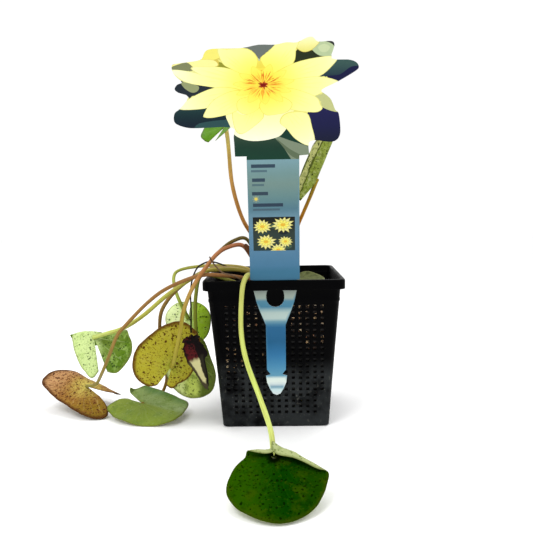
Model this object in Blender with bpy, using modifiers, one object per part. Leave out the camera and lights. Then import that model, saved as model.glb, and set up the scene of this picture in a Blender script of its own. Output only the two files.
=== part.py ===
"""A potted water lily plant in a square mesh basket, with its printed locking label.

Metres, +Z up. The origin is the centre of the basket's underside, and the label side faces -Y.
The blades and stalks trail over the rim and rest on the surface that the basket stands on.
"""

import math

import bmesh
import bpy
from mathutils import Matrix, Vector

MM = 0.001

# Basket
RIM_HALF = 0.057  # half the width across the rim
RIM_TOP = 0.124
RIM_SKIRT = 0.008
RIM_SHEET = 0.0012
WALL_TOP_HALF = 0.0536  # the tapered wall, where it meets the rim's skirt
BASE_HALF = 0.0441
BASKET_WALL = 0.0016
CORNER_RADIUS = 0.007
CORNER_STEPS = 4

# Growing medium and crown
CLEARANCE = 0.0003
MEDIUM_TOP = 0.106
MEDIUM_MOUND = 0.003
CROWN_CENTRE = (0.003, -0.006, 0.113)
CROWN_HALF = (0.011, 0.026, 0.0068)

# Label
LABEL_SHEET = 0.0005
LABEL_LEAN = math.radians(11.4)  # how far the upper part leans out over the rim
LABEL_X = 0.0011
LABEL_OFF_WALL = 0.00065  # from the wall to the middle of the card
SLOT_SIZE = (0.0365, 0.0012)
PANEL_HALF = 0.0195
PANEL_TOP = 0.097  # up the label from the rim, where the flower head starts

# Blades and stalks
BLADE_SHEET = 0.0008
BLADE_RINGS = 6
BLADE_SECTORS = 24
STALK_SIDES = 2  # bevel resolution: 8 sides
STEPS_PER_SPAN = 3

MATERIALS = {
    "black_plastic": ((0.012, 0.013, 0.014), 0.45),
    "wet_gravel": ((0.16, 0.11, 0.07), 0.85),
    "printed_card": ((0.30, 0.50, 0.68), 0.35),
    "crown_skin": ((0.10, 0.06, 0.03), 0.8),
    "leaf_green": ((0.06, 0.16, 0.02), 0.4),
    "leaf_pale": ((0.35, 0.50, 0.16), 0.5),
    "leaf_olive": ((0.33, 0.30, 0.06), 0.5),
    "leaf_brown": ((0.30, 0.14, 0.06), 0.5),
    "leaf_dead": ((0.05, 0.015, 0.012), 0.7),
    "stalk_green": ((0.38, 0.50, 0.10), 0.45),
    "stalk_olive": ((0.30, 0.26, 0.07), 0.5),
    "stalk_pink": ((0.36, 0.18, 0.11), 0.5),
    "stalk_dead": ((0.02, 0.015, 0.012), 0.7),
}

# Each blade: where the stalk meets it, which way its midrib and its upper side point, its outline when laid
# flat, its curls, and the height of its waves. The outline gives, from the left lobe round the tip to the
# right lobe, the degrees from the tip and the millimetres from the stalk. A curl gives the degrees from the
# tip of the way that it runs, the millimetres from the stalk to where it starts, the millimetres that it
# takes, and the degrees that it turns up.
BLADES = {
    "leaf_front": dict(
        foot=(-0.001, -0.150, 0.0208), tip=(0.06, -0.92, -0.36), face=(0.0, -0.36, 0.93),
        outline=[(-172, 14), (-150, 18), (-120, 20), (-95, 24), (-72, 35), (-50, 39), (-25, 45), (0, 48),
                 (25, 45), (50, 40), (70, 29), (90, 20), (115, 18), (150, 14), (172, 14)],
        curls=[(170, 5, 5, 165), (-142, 7, 5, 165), (0, 20, 28, -9)], wave=1.0, material="leaf_green",
    ),
    "leaf_brown": dict(
        foot=(-0.1735, 0.006, 0.0205), tip=(-0.89, 0.35, 0.29), face=(-0.10, 0.45, -0.89),
        outline=[(-167, 20), (-160, 29), (-148, 32), (-120, 28), (-90, 26), (-55, 27), (-25, 30), (-9, 35),
                 (8, 42), (25, 41), (41, 34), (60, 29), (85, 26), (114, 31), (140, 40), (155, 42),
                 (163, 33), (169, 18)],
        curls=[(-90, 0, 26, 88)], wave=0.8, material="leaf_brown",
    ),
    "leaf_folded": dict(
        foot=(-0.1495, -0.040, 0.0765), tip=(-0.39, 0.50, 0.78), face=(-0.15, 0.80, -0.58),
        outline=[(-176, 34), (-166, 40), (-150, 39.5), (-136, 37.5), (-123, 34), (-110, 28.5), (-95, 23.5),
                 (-60, 20), (-29, 24), (0, 27), (30, 25), (60, 20), (95, 18), (120, 20), (150, 29),
                 (162, 35), (172, 30)],
        curls=[(61, 2, 26, 50), (-119, 2, 28, -30), (-29, 2, 10, 120)], wave=0.8, material="leaf_pale",
    ),
    "leaf_olive": dict(
        foot=(-0.081, -0.066, 0.0585), tip=(0.20, 0.18, 0.96), face=(-0.20, 0.97, -0.15),
        outline=[(-184, 15), (-168, 17), (-150, 15), (-125, 16), (-100, 17), (-75, 20), (-50, 27), (-25, 33),
                 (0, 36), (15, 34), (45, 30), (75, 31), (105, 30), (125, 27), (142, 23), (153, 18)],
        curls=[(-90, 0, 30, 40), (90, 0, 30, 10)], wave=0.8, material="leaf_olive",
    ),
    "leaf_floor": dict(
        foot=(-0.119, -0.009, 0.0090), tip=(0.87, -0.48, -0.15), face=(0.05, -0.25, 0.97),
        outline=[(-163, 29), (-150, 25), (-137, 27), (-120, 25), (-95, 24), (-65, 24), (-42, 32), (-28, 41),
                 (-10, 43), (12, 45), (25, 41), (40, 36), (60, 32), (90, 29), (115, 29), (132, 31),
                 (143, 27), (157, 22), (176, 16)],
        curls=[(-90, 0, 26, 12), (0, 0, 41, 8), (180, 0, 31, 8), (-164, 20, 6, 110)],
        wave=1.2, material="leaf_green",
    ),
    "leaf_side": dict(
        foot=(-0.0705, -0.040, 0.064), tip=(0.10, -0.08, -0.99), face=(-0.16, -0.98, 0.10),
        outline=[(-168, 13), (-128, 16), (-97, 16), (-68, 21), (-42, 32), (-25, 38), (-9, 39),
                 (13, 37), (31, 33), (60, 25), (90, 20), (130, 17), (168, 13)],
        curls=[(-90, 0, 20, 20), (90, 0, 20, 20), (0, 0, 38, 15)], wave=0.8, material="leaf_green",
    ),
    "leaf_back": dict(
        foot=(-0.078, 0.005, 0.083), tip=(-0.02, -0.10, -0.99), face=(-0.10, 0.99, -0.10),
        outline=[(-170, 15), (-130, 18), (-90, 21), (-45, 24), (0, 27), (45, 24), (90, 21),
                 (130, 18), (170, 15)],
        curls=[(-90, 0, 21, 25), (90, 0, 21, 25), (0, 0, 27, 15)], wave=0.8, material="leaf_pale",
    ),
    "leaf_upright": dict(
        foot=(-0.038, -0.020, 0.249), tip=(0.55, 0.45, 0.70), face=(-0.45, -0.50, 0.74),
        outline=[(-164, 20), (-130, 23), (-90, 24), (-45, 27), (0, 30), (45, 27), (90, 24),
                 (130, 23), (164, 20)],
        curls=[(-90, 0, 24, 15), (90, 0, 24, 45), (0, 0, 30, -10)], wave=1.0, material="leaf_green",
    ),
    "leaf_furled": dict(
        foot=(0.037, -0.019, 0.204), tip=(0.40, -0.05, 0.91), face=(-0.88, -0.20, 0.40),
        outline=[(-160, 23), (-130, 25), (-90, 25), (-45, 32), (0, 40), (45, 32), (90, 25),
                 (130, 25), (160, 23)],
        curls=[(-90, 0, 2, 58), (-90, 2, 23, 150), (90, 0, 2, 58), (90, 2, 23, 150)],
        wave=0.0, material="leaf_pale",
    ),
    "leaf_inside": dict(
        foot=(0.022, -0.012, 0.119), tip=(0.98, -0.10, 0.06), face=(-0.05, -0.25, 0.97),
        outline=[(-168, 6), (-90, 10), (-45, 15), (0, 22), (45, 15), (90, 10), (168, 6)],
        curls=[(-90, 0, 10, 25), (90, 0, 10, 15), (0, 0, 22, -10)], wave=0.5, material="leaf_pale",
    ),
    "leaf_dead": dict(
        foot=(-0.0632, -0.0775, 0.083), tip=(0.27, 0.02, -0.96), face=(0.10, -0.99, 0.0),
        outline=[(-170, 2.5), (-120, 4), (-90, 6), (-60, 8.5), (-40, 12), (-25, 17), (-14, 22), (-6, 33),
                 (0, 41), (6, 34), (14, 24), (25, 18), (40, 12), (60, 9), (90, 6.5), (120, 4), (170, 2.5)],
        curls=[(-90, 2, 6, 50), (90, 2, 6, 35), (0, 20, 21, -20)], wave=2.0, material="leaf_dead",
    ),
}

# Each stalk: its diameter, its route from the crown, and the blade that it carries.
STALKS = {
    "stalk_front": dict(
        width=0.0038, blade="leaf_front", material="stalk_green",
        route=[(-0.008, -0.030, 0.119), (-0.018, -0.048, 0.1275), (-0.022, -0.060, 0.1265),
               (-0.0245, -0.067, 0.116), (-0.025, -0.080, 0.090), (-0.0205, -0.098, 0.071),
               (-0.0105, -0.121, 0.051), (-0.0035, -0.1345, 0.034), (-0.002, -0.1385, 0.022),
               (-0.0015, -0.1425, 0.0140)],
    ),
    "stalk_brown": dict(
        width=0.0036, blade="leaf_brown", material="stalk_pink",
        route=[(-0.010, -0.022, 0.116), (-0.024, -0.040, 0.124), (-0.040, -0.048, 0.1275),
               (-0.059, -0.050, 0.128), (-0.084, -0.052, 0.119), (-0.100, -0.056, 0.108),
               (-0.1155, -0.062, 0.0925), (-0.123, -0.066, 0.0835), (-0.130, -0.067, 0.067),
               (-0.140, -0.058, 0.049), (-0.154, -0.028, 0.033)],
    ),
    "stalk_folded": dict(
        width=0.0036, blade="leaf_folded", material="stalk_green",
        route=[(-0.010, -0.012, 0.117), (-0.024, -0.022, 0.128), (-0.045, -0.030, 0.1305),
               (-0.060, -0.034, 0.128), (-0.085, -0.041, 0.113), (-0.106, -0.048, 0.096),
               (-0.121, -0.052, 0.087), (-0.136, -0.050, 0.082)],
    ),
    "stalk_olive": dict(
        width=0.0034, blade="leaf_olive", material="stalk_pink",
        route=[(-0.008, -0.018, 0.121), (-0.018, -0.026, 0.140), (-0.026, -0.030, 0.1505),
               (-0.038, -0.036, 0.149), (-0.046, -0.043, 0.144), (-0.055, -0.052, 0.133),
               (-0.061, -0.060, 0.124), (-0.0655, -0.070, 0.114), (-0.069, -0.077, 0.102),
               (-0.071, -0.080, 0.089), (-0.0765, -0.077, 0.068)],
    ),
    "stalk_floor": dict(
        width=0.0034, blade="leaf_floor", material="stalk_olive",
        route=[(-0.010, -0.002, 0.117), (-0.026, -0.010, 0.127), (-0.048, -0.018, 0.1305),
               (-0.064, -0.024, 0.126), (-0.079, -0.030, 0.116), (-0.090, -0.032, 0.104),
               (-0.096, -0.030, 0.091), (-0.099, -0.018, 0.067), (-0.101, 0.008, 0.040),
               (-0.104, 0.026, 0.018), (-0.110, 0.020, 0.0045), (-0.116, 0.004, 0.0035)],
    ),
    "stalk_side": dict(
        width=0.0032, blade="leaf_side", material="stalk_green",
        route=[(-0.010, -0.027, 0.112), (-0.030, -0.038, 0.120), (-0.048, -0.041, 0.1265),
               (-0.0595, -0.042, 0.1265), (-0.0640, -0.040, 0.110), (-0.0655, -0.037, 0.092),
               (-0.0660, -0.034, 0.075)],
    ),
    "stalk_dead": dict(
        width=0.0013, blade=None, material="stalk_dead",
        route=[(-0.010, -0.006, 0.1145), (-0.026, -0.008, 0.1235), (-0.050, -0.014, 0.1350),
               (-0.0605, -0.026, 0.1345), (-0.0650, -0.038, 0.1285), (-0.0665, -0.050, 0.117),
               (-0.0650, -0.062, 0.100), (-0.0632, -0.0775, 0.0880)],
    ),
    "stalk_back": dict(
        width=0.0031, blade="leaf_back", material="stalk_green",
        route=[(-0.010, 0.006, 0.117), (-0.026, 0.020, 0.126), (-0.054, 0.033, 0.1275),
               (-0.078, 0.040, 0.1255), (-0.092, 0.040, 0.122), (-0.095, 0.034, 0.116),
               (-0.091, 0.018, 0.108), (-0.085, 0.002, 0.100)],
    ),
    "stalk_upright": dict(
        width=0.0034, blade="leaf_upright", material="stalk_olive",
        route=[(0.003, 0.002, 0.1215), (-0.008, -0.003, 0.140), (-0.0190, -0.008, 0.159),
               (-0.025, -0.013, 0.170), (-0.030, -0.017, 0.185), (-0.034, -0.018, 0.204),
               (-0.0360, -0.014, 0.228), (-0.0370, -0.012, 0.240)],
    ),
    "stalk_furled": dict(
        width=0.0032, blade="leaf_furled", material="stalk_olive",
        route=[(0.008, -0.004, 0.1215), (0.015, -0.006, 0.143), (0.021, -0.010, 0.164),
               (0.026, -0.013, 0.176), (0.032, -0.017, 0.190)],
    ),
    "stalk_inside": dict(
        width=0.0022, blade="leaf_inside", material="stalk_olive",
        route=[(0.0155, -0.008, 0.1115), (0.0175, -0.010, 0.1125), (0.020, -0.011, 0.115)],
    ),
    "stalk_bare": dict(
        width=0.0030, blade=None, material="stalk_olive",
        route=[(-0.004, -0.008, 0.1215), (-0.0135, -0.014, 0.1385), (-0.0225, -0.020, 0.1550),
               (-0.0330, -0.028, 0.1540), (-0.0430, -0.035, 0.1470), (-0.0510, -0.041, 0.1390)],
    ),
    "stalk_broken": dict(
        width=0.0046, blade=None, material="stalk_olive",
        route=[(0.000, -0.018, 0.1215), (-0.008, -0.034, 0.132), (-0.0155, -0.040, 0.1415),
               (-0.0225, -0.044, 0.1515)],
    ),
    "stalk_dried": dict(
        width=0.0012, blade=None, material="stalk_dead",
        route=[(-0.012, -0.034, 0.1115), (-0.030, -0.0495, 0.1265), (-0.0405, -0.0525, 0.1305),
               (-0.048, -0.052, 0.1385), (-0.0505, -0.051, 0.143)],
    ),
}


def clear_scene():
    for thing in list(bpy.data.objects):
        bpy.data.objects.remove(thing)


def new_collection(name):
    collection = bpy.data.collections.new(name)
    bpy.context.scene.collection.children.link(collection)
    return collection


def make_materials():
    made = {}
    for name, (colour, roughness) in MATERIALS.items():
        material = bpy.data.materials.new(name)
        material.use_nodes = True
        shader = material.node_tree.nodes["Principled BSDF"]
        shader.inputs["Base Color"].default_value = (*colour, 1.0)
        shader.inputs["Roughness"].default_value = roughness
        made[name] = material
    return made


def add_mesh(name, bm, collection, material=None):
    mesh = bpy.data.meshes.new(name)
    bm.to_mesh(mesh)
    bm.free()
    piece = bpy.data.objects.new(name, mesh)
    collection.objects.link(piece)
    if material:
        mesh.materials.append(material)
    return piece


def tapered_block(name, base_half, top_half, z_low, z_high, radius, collection, material=None):
    """A square block that widens upward, with rounded upright corners."""
    bm = bmesh.new()
    bmesh.ops.create_cube(bm, size=2.0)
    for vert in bm.verts:
        half = top_half if vert.co.z > 0 else base_half
        vert.co = Vector((vert.co.x * half, vert.co.y * half, z_high if vert.co.z > 0 else z_low))
    upright = [e for e in bm.edges if abs(e.verts[0].co.z - e.verts[1].co.z) > 1e-6]
    bmesh.ops.bevel(bm, geom=upright, offset=radius, segments=CORNER_STEPS, affect="EDGES", profile=0.5)
    return add_mesh(name, bm, collection, material)


def combine(piece, other, operation):
    other.hide_render = True
    other.display_type = "WIRE"
    boolean = piece.modifiers.new(other.name, "BOOLEAN")
    boolean.operation = operation
    boolean.object = other


def wall_half(z):
    """Half the width across the outside of the wall at a height."""
    skirt_foot = RIM_TOP - RIM_SKIRT
    return BASE_HALF + (WALL_TOP_HALF - BASE_HALF) * z / skirt_foot


SLOT_Y = -(wall_half(RIM_TOP) + LABEL_OFF_WALL)  # the label's slot through the rim


def make_basket(collection, cutters, materials):
    """The rim with its hollow skirt, joined to the tapered wall and hollowed from the top."""
    skirt_foot = RIM_TOP - RIM_SKIRT
    rim = tapered_block(
        "basket", RIM_HALF, RIM_HALF, skirt_foot, RIM_TOP, CORNER_RADIUS, collection,
        materials["black_plastic"],
    )
    under_rim = tapered_block(
        "under_rim", RIM_HALF - RIM_SHEET, RIM_HALF - RIM_SHEET, skirt_foot - 0.001,
        RIM_TOP - RIM_SHEET, CORNER_RADIUS - RIM_SHEET, cutters,
    )
    shoulder = RIM_TOP - RIM_SHEET / 2
    wall = tapered_block(
        "wall_block", BASE_HALF, wall_half(shoulder), 0.0, shoulder, CORNER_RADIUS, cutters
    )
    inside_top = RIM_TOP + 0.002
    inside = tapered_block(
        "basket_inside", wall_half(BASKET_WALL) - BASKET_WALL, wall_half(inside_top) - BASKET_WALL,
        BASKET_WALL, inside_top, CORNER_RADIUS - BASKET_WALL, cutters,
    )
    bm = bmesh.new()
    slot_at = Matrix.Translation((LABEL_X, SLOT_Y, RIM_TOP)) @ Matrix.Diagonal((*SLOT_SIZE, 0.006, 1.0))
    bmesh.ops.create_cube(bm, size=1.0, matrix=slot_at)
    slot = add_mesh("label_slot", bm, cutters)
    combine(rim, under_rim, "DIFFERENCE")
    combine(rim, wall, "UNION")
    combine(rim, inside, "DIFFERENCE")
    combine(rim, slot, "DIFFERENCE")
    return rim


def make_medium(collection, materials):
    """Gravel and soil that fill the basket, with a low mounded top."""
    gap = BASKET_WALL + CLEARANCE
    low = BASKET_WALL + CLEARANCE
    medium = tapered_block(
        "growing_medium", wall_half(low) - gap, wall_half(MEDIUM_TOP) - gap - MEDIUM_MOUND * 0.1,
        low, MEDIUM_TOP - MEDIUM_MOUND, CORNER_RADIUS - gap, collection, materials["wet_gravel"],
    )
    bm = bmesh.new()
    bm.from_mesh(medium.data)
    top = max(bm.faces, key=lambda face: face.calc_center_median().z)
    for shrink, rise in ((0.8, 0.75), (0.55, 0.25)):
        top = bmesh.ops.extrude_discrete_faces(bm, faces=[top])["faces"][0]
        for vert in top.verts:
            vert.co = Vector((vert.co.x * shrink, vert.co.y * shrink, vert.co.z + MEDIUM_MOUND * rise))
    bm.to_mesh(medium.data)
    bm.free()
    return medium


def make_crown(collection, materials):
    """The rhizome's crown: a long knuckle that lies on the gravel."""
    bm = bmesh.new()
    bmesh.ops.create_uvsphere(bm, u_segments=20, v_segments=12, radius=1.0)
    centre, half = Vector(CROWN_CENTRE), Vector(CROWN_HALF)
    for vert in bm.verts:
        swell = 1.0 + 0.06 * math.sin(9.0 * vert.co.y)
        vert.co = centre + Vector((vert.co.x * half.x * swell, vert.co.y * half.y, vert.co.z * half.z * swell))
        vert.co.z = max(vert.co.z, MEDIUM_TOP + CLEARANCE + 0.05 * abs(vert.co.z - centre.z))
    return add_mesh("rhizome_crown", bm, collection, materials["crown_skin"])


HEAD_OUTLINE = [
    # the printed flower and its pads, clockwise from the lower left, across and up the label
    (-0.0280, 0.097), (-0.0285, 0.111), (-0.0295, 0.118), (-0.0540, 0.118), (-0.0625, 0.1185),
    (-0.0695, 0.121), (-0.0715, 0.124), (-0.0705, 0.129), (-0.0665, 0.132), (-0.0600, 0.140),
    (-0.0670, 0.143), (-0.0695, 0.1455), (-0.0675, 0.1485), (-0.0640, 0.150), (-0.0675, 0.1535),
    (-0.0700, 0.157), (-0.0705, 0.161), (-0.0680, 0.1625), (-0.0545, 0.164), (-0.0490, 0.1655),
    (-0.0465, 0.170), (-0.0410, 0.172), (-0.0215, 0.172), (-0.0090, 0.174), (0.0025, 0.1738),
    (0.0108, 0.1752), (0.0180, 0.175), (0.0250, 0.178), (0.0292, 0.1782), (0.0328, 0.1752),
    (0.0420, 0.1754), (0.0443, 0.1725), (0.0425, 0.164), (0.0540, 0.163), (0.0592, 0.1615),
    (0.0616, 0.1585), (0.0598, 0.1555), (0.0472, 0.1485), (0.0355, 0.143), (0.0390, 0.1395),
    (0.0425, 0.136), (0.0455, 0.129), (0.0480, 0.1265), (0.0494, 0.1165), (0.0490, 0.111),
    (0.0465, 0.1075), (0.0415, 0.1064), (0.0316, 0.1078), (0.0265, 0.106), (0.0268, 0.0975),
]


STAKE_OUTLINE = [
    # the right edge of the panel and of the locking stake, downward from the flower head
    (PANEL_HALF, PANEL_TOP), (PANEL_HALF, 0.0004), (0.0172, 0.0004), (0.0170, -0.0085),
    (0.0150, -0.0175), (0.0128, -0.0240), (0.0079, -0.0365), (0.0077, -0.0740), (0.0047, -0.0780),
    (0.0086, -0.0792), (0.0078, -0.0850), (0.0055, -0.0905), (0.0030, -0.0945),
]
STAKE_TIP = (0.0, -0.0958)
WINDOW_HALF = 0.0072  # the round-ended window between the stake's prongs
WINDOW_RISE = (-0.0145, -0.0120)  # the centres of its lower and upper ends
WINDOW_STEPS = 8


def label_outlines():
    """The die-cut card laid flat, across and up from the rim: its edge, and the window in its stake."""
    left = [(-across, up) for across, up in reversed(STAKE_OUTLINE)]
    window = []
    for start, up in zip((math.pi, 0.0), WINDOW_RISE):
        for step in range(WINDOW_STEPS + 1):
            angle = start + math.pi * step / WINDOW_STEPS
            window.append((WINDOW_HALF * math.cos(angle), up + WINDOW_HALF * math.sin(angle)))
    return [HEAD_OUTLINE + STAKE_OUTLINE + [STAKE_TIP] + left, window]


def label_place(across, up):
    """Where a point of the flat card is: leaning out above the rim, and along the wall below it."""
    if up > 0:
        y, z = SLOT_Y - up * math.sin(LABEL_LEAN), RIM_TOP + up * math.cos(LABEL_LEAN)
    else:
        y, z = SLOT_Y + wall_half(RIM_TOP) - wall_half(RIM_TOP + up), RIM_TOP + up
    return Vector((LABEL_X + across, y, z))


def make_label(collection, materials):
    """A filled outline, bent where it passes through the rim, and then given its thickness."""
    curve = bpy.data.curves.new("label_outline", "CURVE")
    curve.dimensions = "2D"
    curve.fill_mode = "BOTH"
    for points in label_outlines():
        spline = curve.splines.new("POLY")
        spline.points.add(len(points) - 1)
        for point, (across, up) in zip(spline.points, points):
            point.co = (across, up, 0.0, 1.0)
        spline.use_cyclic_u = True
    flat = bpy.data.objects.new("label_outline", curve)
    collection.objects.link(flat)
    bm = bmesh.new()
    bm.from_mesh(bpy.data.meshes.new_from_object(flat.evaluated_get(bpy.context.evaluated_depsgraph_get())))
    bpy.data.objects.remove(flat)
    bmesh.ops.remove_doubles(bm, verts=bm.verts, dist=1e-6)
    everything = bm.verts[:] + bm.edges[:] + bm.faces[:]
    bmesh.ops.bisect_plane(bm, geom=everything, plane_co=(0, 0, 0), plane_no=(0, 1, 0), dist=1e-7)
    for vert in bm.verts:
        vert.co = label_place(vert.co.x, vert.co.y)
    label = add_mesh("plant_label", bm, collection, materials["printed_card"])
    sheet = label.modifiers.new("sheet", "SOLIDIFY")
    sheet.thickness = LABEL_SHEET
    sheet.offset = 0.0
    return label


def smooth_route(points, steps):
    """Points along a Catmull-Rom curve through the route's own points."""
    ends = [2 * points[0] - points[1]] + points + [2 * points[-1] - points[-2]]
    out = []
    for a, b, c, d in zip(ends, ends[1:], ends[2:], ends[3:]):
        for i in range(steps):
            t = i / steps
            out.append(
                0.5 * (2 * b + (c - a) * t + (2 * a - 5 * b + 4 * c - d) * t * t
                       + (3 * b - a - 3 * c + d) * t ** 3)
            )
    return out + [points[-1]]


def blade_frame(blade):
    """The blade's own axes: across, along the midrib, and out of the upper side."""
    along = Vector(blade["tip"]).normalized()
    across = along.cross(Vector(blade["face"])).normalized()
    return across, along, across.cross(along)


def reach_at(outline, degrees):
    """How far the edge is from the stalk at an angle, on a smooth curve through the outline's points."""
    last = len(outline) - 1
    upper = next((i for i in range(1, last) if outline[i][0] > degrees), last)
    slopes = []
    for i in (upper - 1, upper):
        (from_angle, from_reach), (to_angle, to_reach) = outline[max(i - 1, 0)], outline[min(i + 1, last)]
        slopes.append((to_reach - from_reach) / (to_angle - from_angle))
    (low, low_reach), (high, high_reach) = outline[upper - 1], outline[upper]
    span = high - low
    t = (degrees - low) / span
    return (
        (1 + 2 * t) * (1 - t) ** 2 * low_reach + t * t * (3 - 2 * t) * high_reach
        + span * t * (1 - t) * ((1 - t) * slopes[0] - t * slopes[1])
    )


def curled(past, height, arc, turn):
    """Distance and height past the start of a curl: round its arc, and then straight on."""
    if past <= 0.0:
        return past, height
    radius = arc / math.radians(turn)
    angle = min(past, arc) / radius
    rest = max(0.0, past - arc)
    out = radius * math.sin(angle) + rest * math.cos(angle) - height * math.sin(angle)
    rise = radius * (1.0 - math.cos(angle)) + rest * math.sin(angle) + height * math.cos(angle)
    return out, rise


def blade_place(blade, angle, share):
    """A point of the blade: the angle from the tip, and the share of the way from the stalk to the edge."""
    reach = MM * reach_at(blade["outline"], math.degrees(angle)) * share
    across, along = math.sin(angle) * reach, math.cos(angle) * reach
    height = MM * blade["wave"] * share ** 2 * math.sin(5.0 * angle + 1.0)
    for way, start, arc, turn in blade["curls"]:
        if 90 < abs(way) < 180 and way * angle < 0:
            continue  # it belongs to the other lobe
        way_across, way_along = math.sin(math.radians(way)), math.cos(math.radians(way))
        past = across * way_across + along * way_along - MM * start
        moved, height = curled(past, height, MM * arc, turn)
        across += (moved - past) * way_across
        along += (moved - past) * way_along
    x_axis, y_axis, z_axis = blade_frame(blade)
    return Vector(blade["foot"]) + x_axis * across + y_axis * along + z_axis * height


def make_blade(name, blade, collection, materials):
    """A grid wrapped round the stalk's foot from one side of the notch to the other, then thickened."""
    bm = bmesh.new()
    bmesh.ops.create_grid(bm, x_segments=BLADE_SECTORS, y_segments=BLADE_RINGS, size=0.5)
    first, last = blade["outline"][0][0], blade["outline"][-1][0]
    for vert in bm.verts:
        degrees = last + (first - last) * (vert.co.x + 0.5)
        vert.co = blade_place(blade, math.radians(degrees), vert.co.y + 0.5)
    bmesh.ops.remove_doubles(bm, verts=bm.verts, dist=1e-6)
    piece = add_mesh(name, bm, collection, materials[blade["material"]])
    piece.data.shade_smooth()
    sheet = piece.modifiers.new("sheet", "SOLIDIFY")
    sheet.thickness = BLADE_SHEET
    sheet.offset = 0.0
    return piece


def make_stalk(name, stalk, collection, materials):
    """A round stalk along its route; it stops just short of the underside of its blade."""
    points = [Vector(p) for p in stalk["route"]]
    if stalk["blade"]:
        blade = BLADES[stalk["blade"]]
        under = -blade_frame(blade)[2]
        gap = BLADE_SHEET / 2 + CLEARANCE + stalk["width"] / 2
        points.append(Vector(blade["foot"]) + under * gap)
    curve = bpy.data.curves.new(name, "CURVE")
    curve.dimensions = "3D"
    curve.bevel_depth = stalk["width"] / 2
    curve.bevel_resolution = STALK_SIDES
    curve.use_fill_caps = True
    curve.render_resolution_u = 0
    route = smooth_route(points, STEPS_PER_SPAN)
    spline = curve.splines.new("POLY")
    spline.points.add(len(route) - 1)
    for point, place in zip(spline.points, route):
        point.co = (*place, 1.0)
    curve.materials.append(materials[stalk["material"]])
    piece = bpy.data.objects.new(name, curve)
    collection.objects.link(piece)
    return piece


def main():
    clear_scene()
    plant = new_collection("potted_water_lily")
    cutters = new_collection("cutters")
    materials = make_materials()
    make_basket(plant, cutters, materials)
    make_medium(plant, materials)
    make_label(plant, materials)
    make_crown(plant, materials)
    for name, blade in BLADES.items():
        make_blade(name, blade, plant, materials)
    for name, stalk in STALKS.items():
        make_stalk(name, stalk, plant, materials)


main()
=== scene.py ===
"""The looks of the potted water lily plant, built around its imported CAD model.

Metres and +Z up, in the frame of the CAD model. The tables of blades, stalks and outlines are in
millimetres and repeat part.py's.
"""

import math
import random

import bmesh
import bpy
import numpy as np
from mathutils import Matrix, Vector, noise
from mathutils.geometry import delaunay_2d_cdt


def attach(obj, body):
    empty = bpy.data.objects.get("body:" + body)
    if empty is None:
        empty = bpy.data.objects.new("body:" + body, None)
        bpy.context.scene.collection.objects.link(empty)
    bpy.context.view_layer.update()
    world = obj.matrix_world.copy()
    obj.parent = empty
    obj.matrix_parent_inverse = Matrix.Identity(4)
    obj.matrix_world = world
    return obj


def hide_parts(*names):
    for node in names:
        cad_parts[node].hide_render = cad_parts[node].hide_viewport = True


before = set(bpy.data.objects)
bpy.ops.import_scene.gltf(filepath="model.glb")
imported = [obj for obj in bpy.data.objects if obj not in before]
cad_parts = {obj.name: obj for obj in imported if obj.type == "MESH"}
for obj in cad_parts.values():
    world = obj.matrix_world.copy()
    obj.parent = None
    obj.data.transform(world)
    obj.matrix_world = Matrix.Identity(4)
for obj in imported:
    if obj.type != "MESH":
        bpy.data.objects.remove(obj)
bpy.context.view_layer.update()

MM = 0.001
CLEARANCE = 0.0003

# Basket
RIM_HALF = 0.057  # half the width across the rim
RIM_TOP = 0.124
RIM_FOOT = 0.116  # where the rim's skirt ends and the tapered wall starts
RIM_SHEET = 0.0012
WALL_TOP_HALF = 0.0536
BASE_HALF = 0.0441
BASKET_WALL = 0.0016
CORNER_RADIUS = 0.007

# Growing medium and crown
MEDIUM_TOP = 0.106
MEDIUM_MOUND = 0.003
CROWN_CENTRE = (0.003, -0.006, 0.113)
CROWN_HALF = (0.011, 0.026, 0.0068)

# Label, in millimetres
LABEL_SHEET = 0.5
LABEL_LEAN = math.radians(11.4)  # how far the upper part leans out over the rim
LABEL_X = 1.1
LABEL_OFF_WALL = 0.65  # from the wall to the middle of the card
PANEL_HALF = 19.5
PANEL_TOP = 97  # up the label from the rim, where the flower head starts

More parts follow.
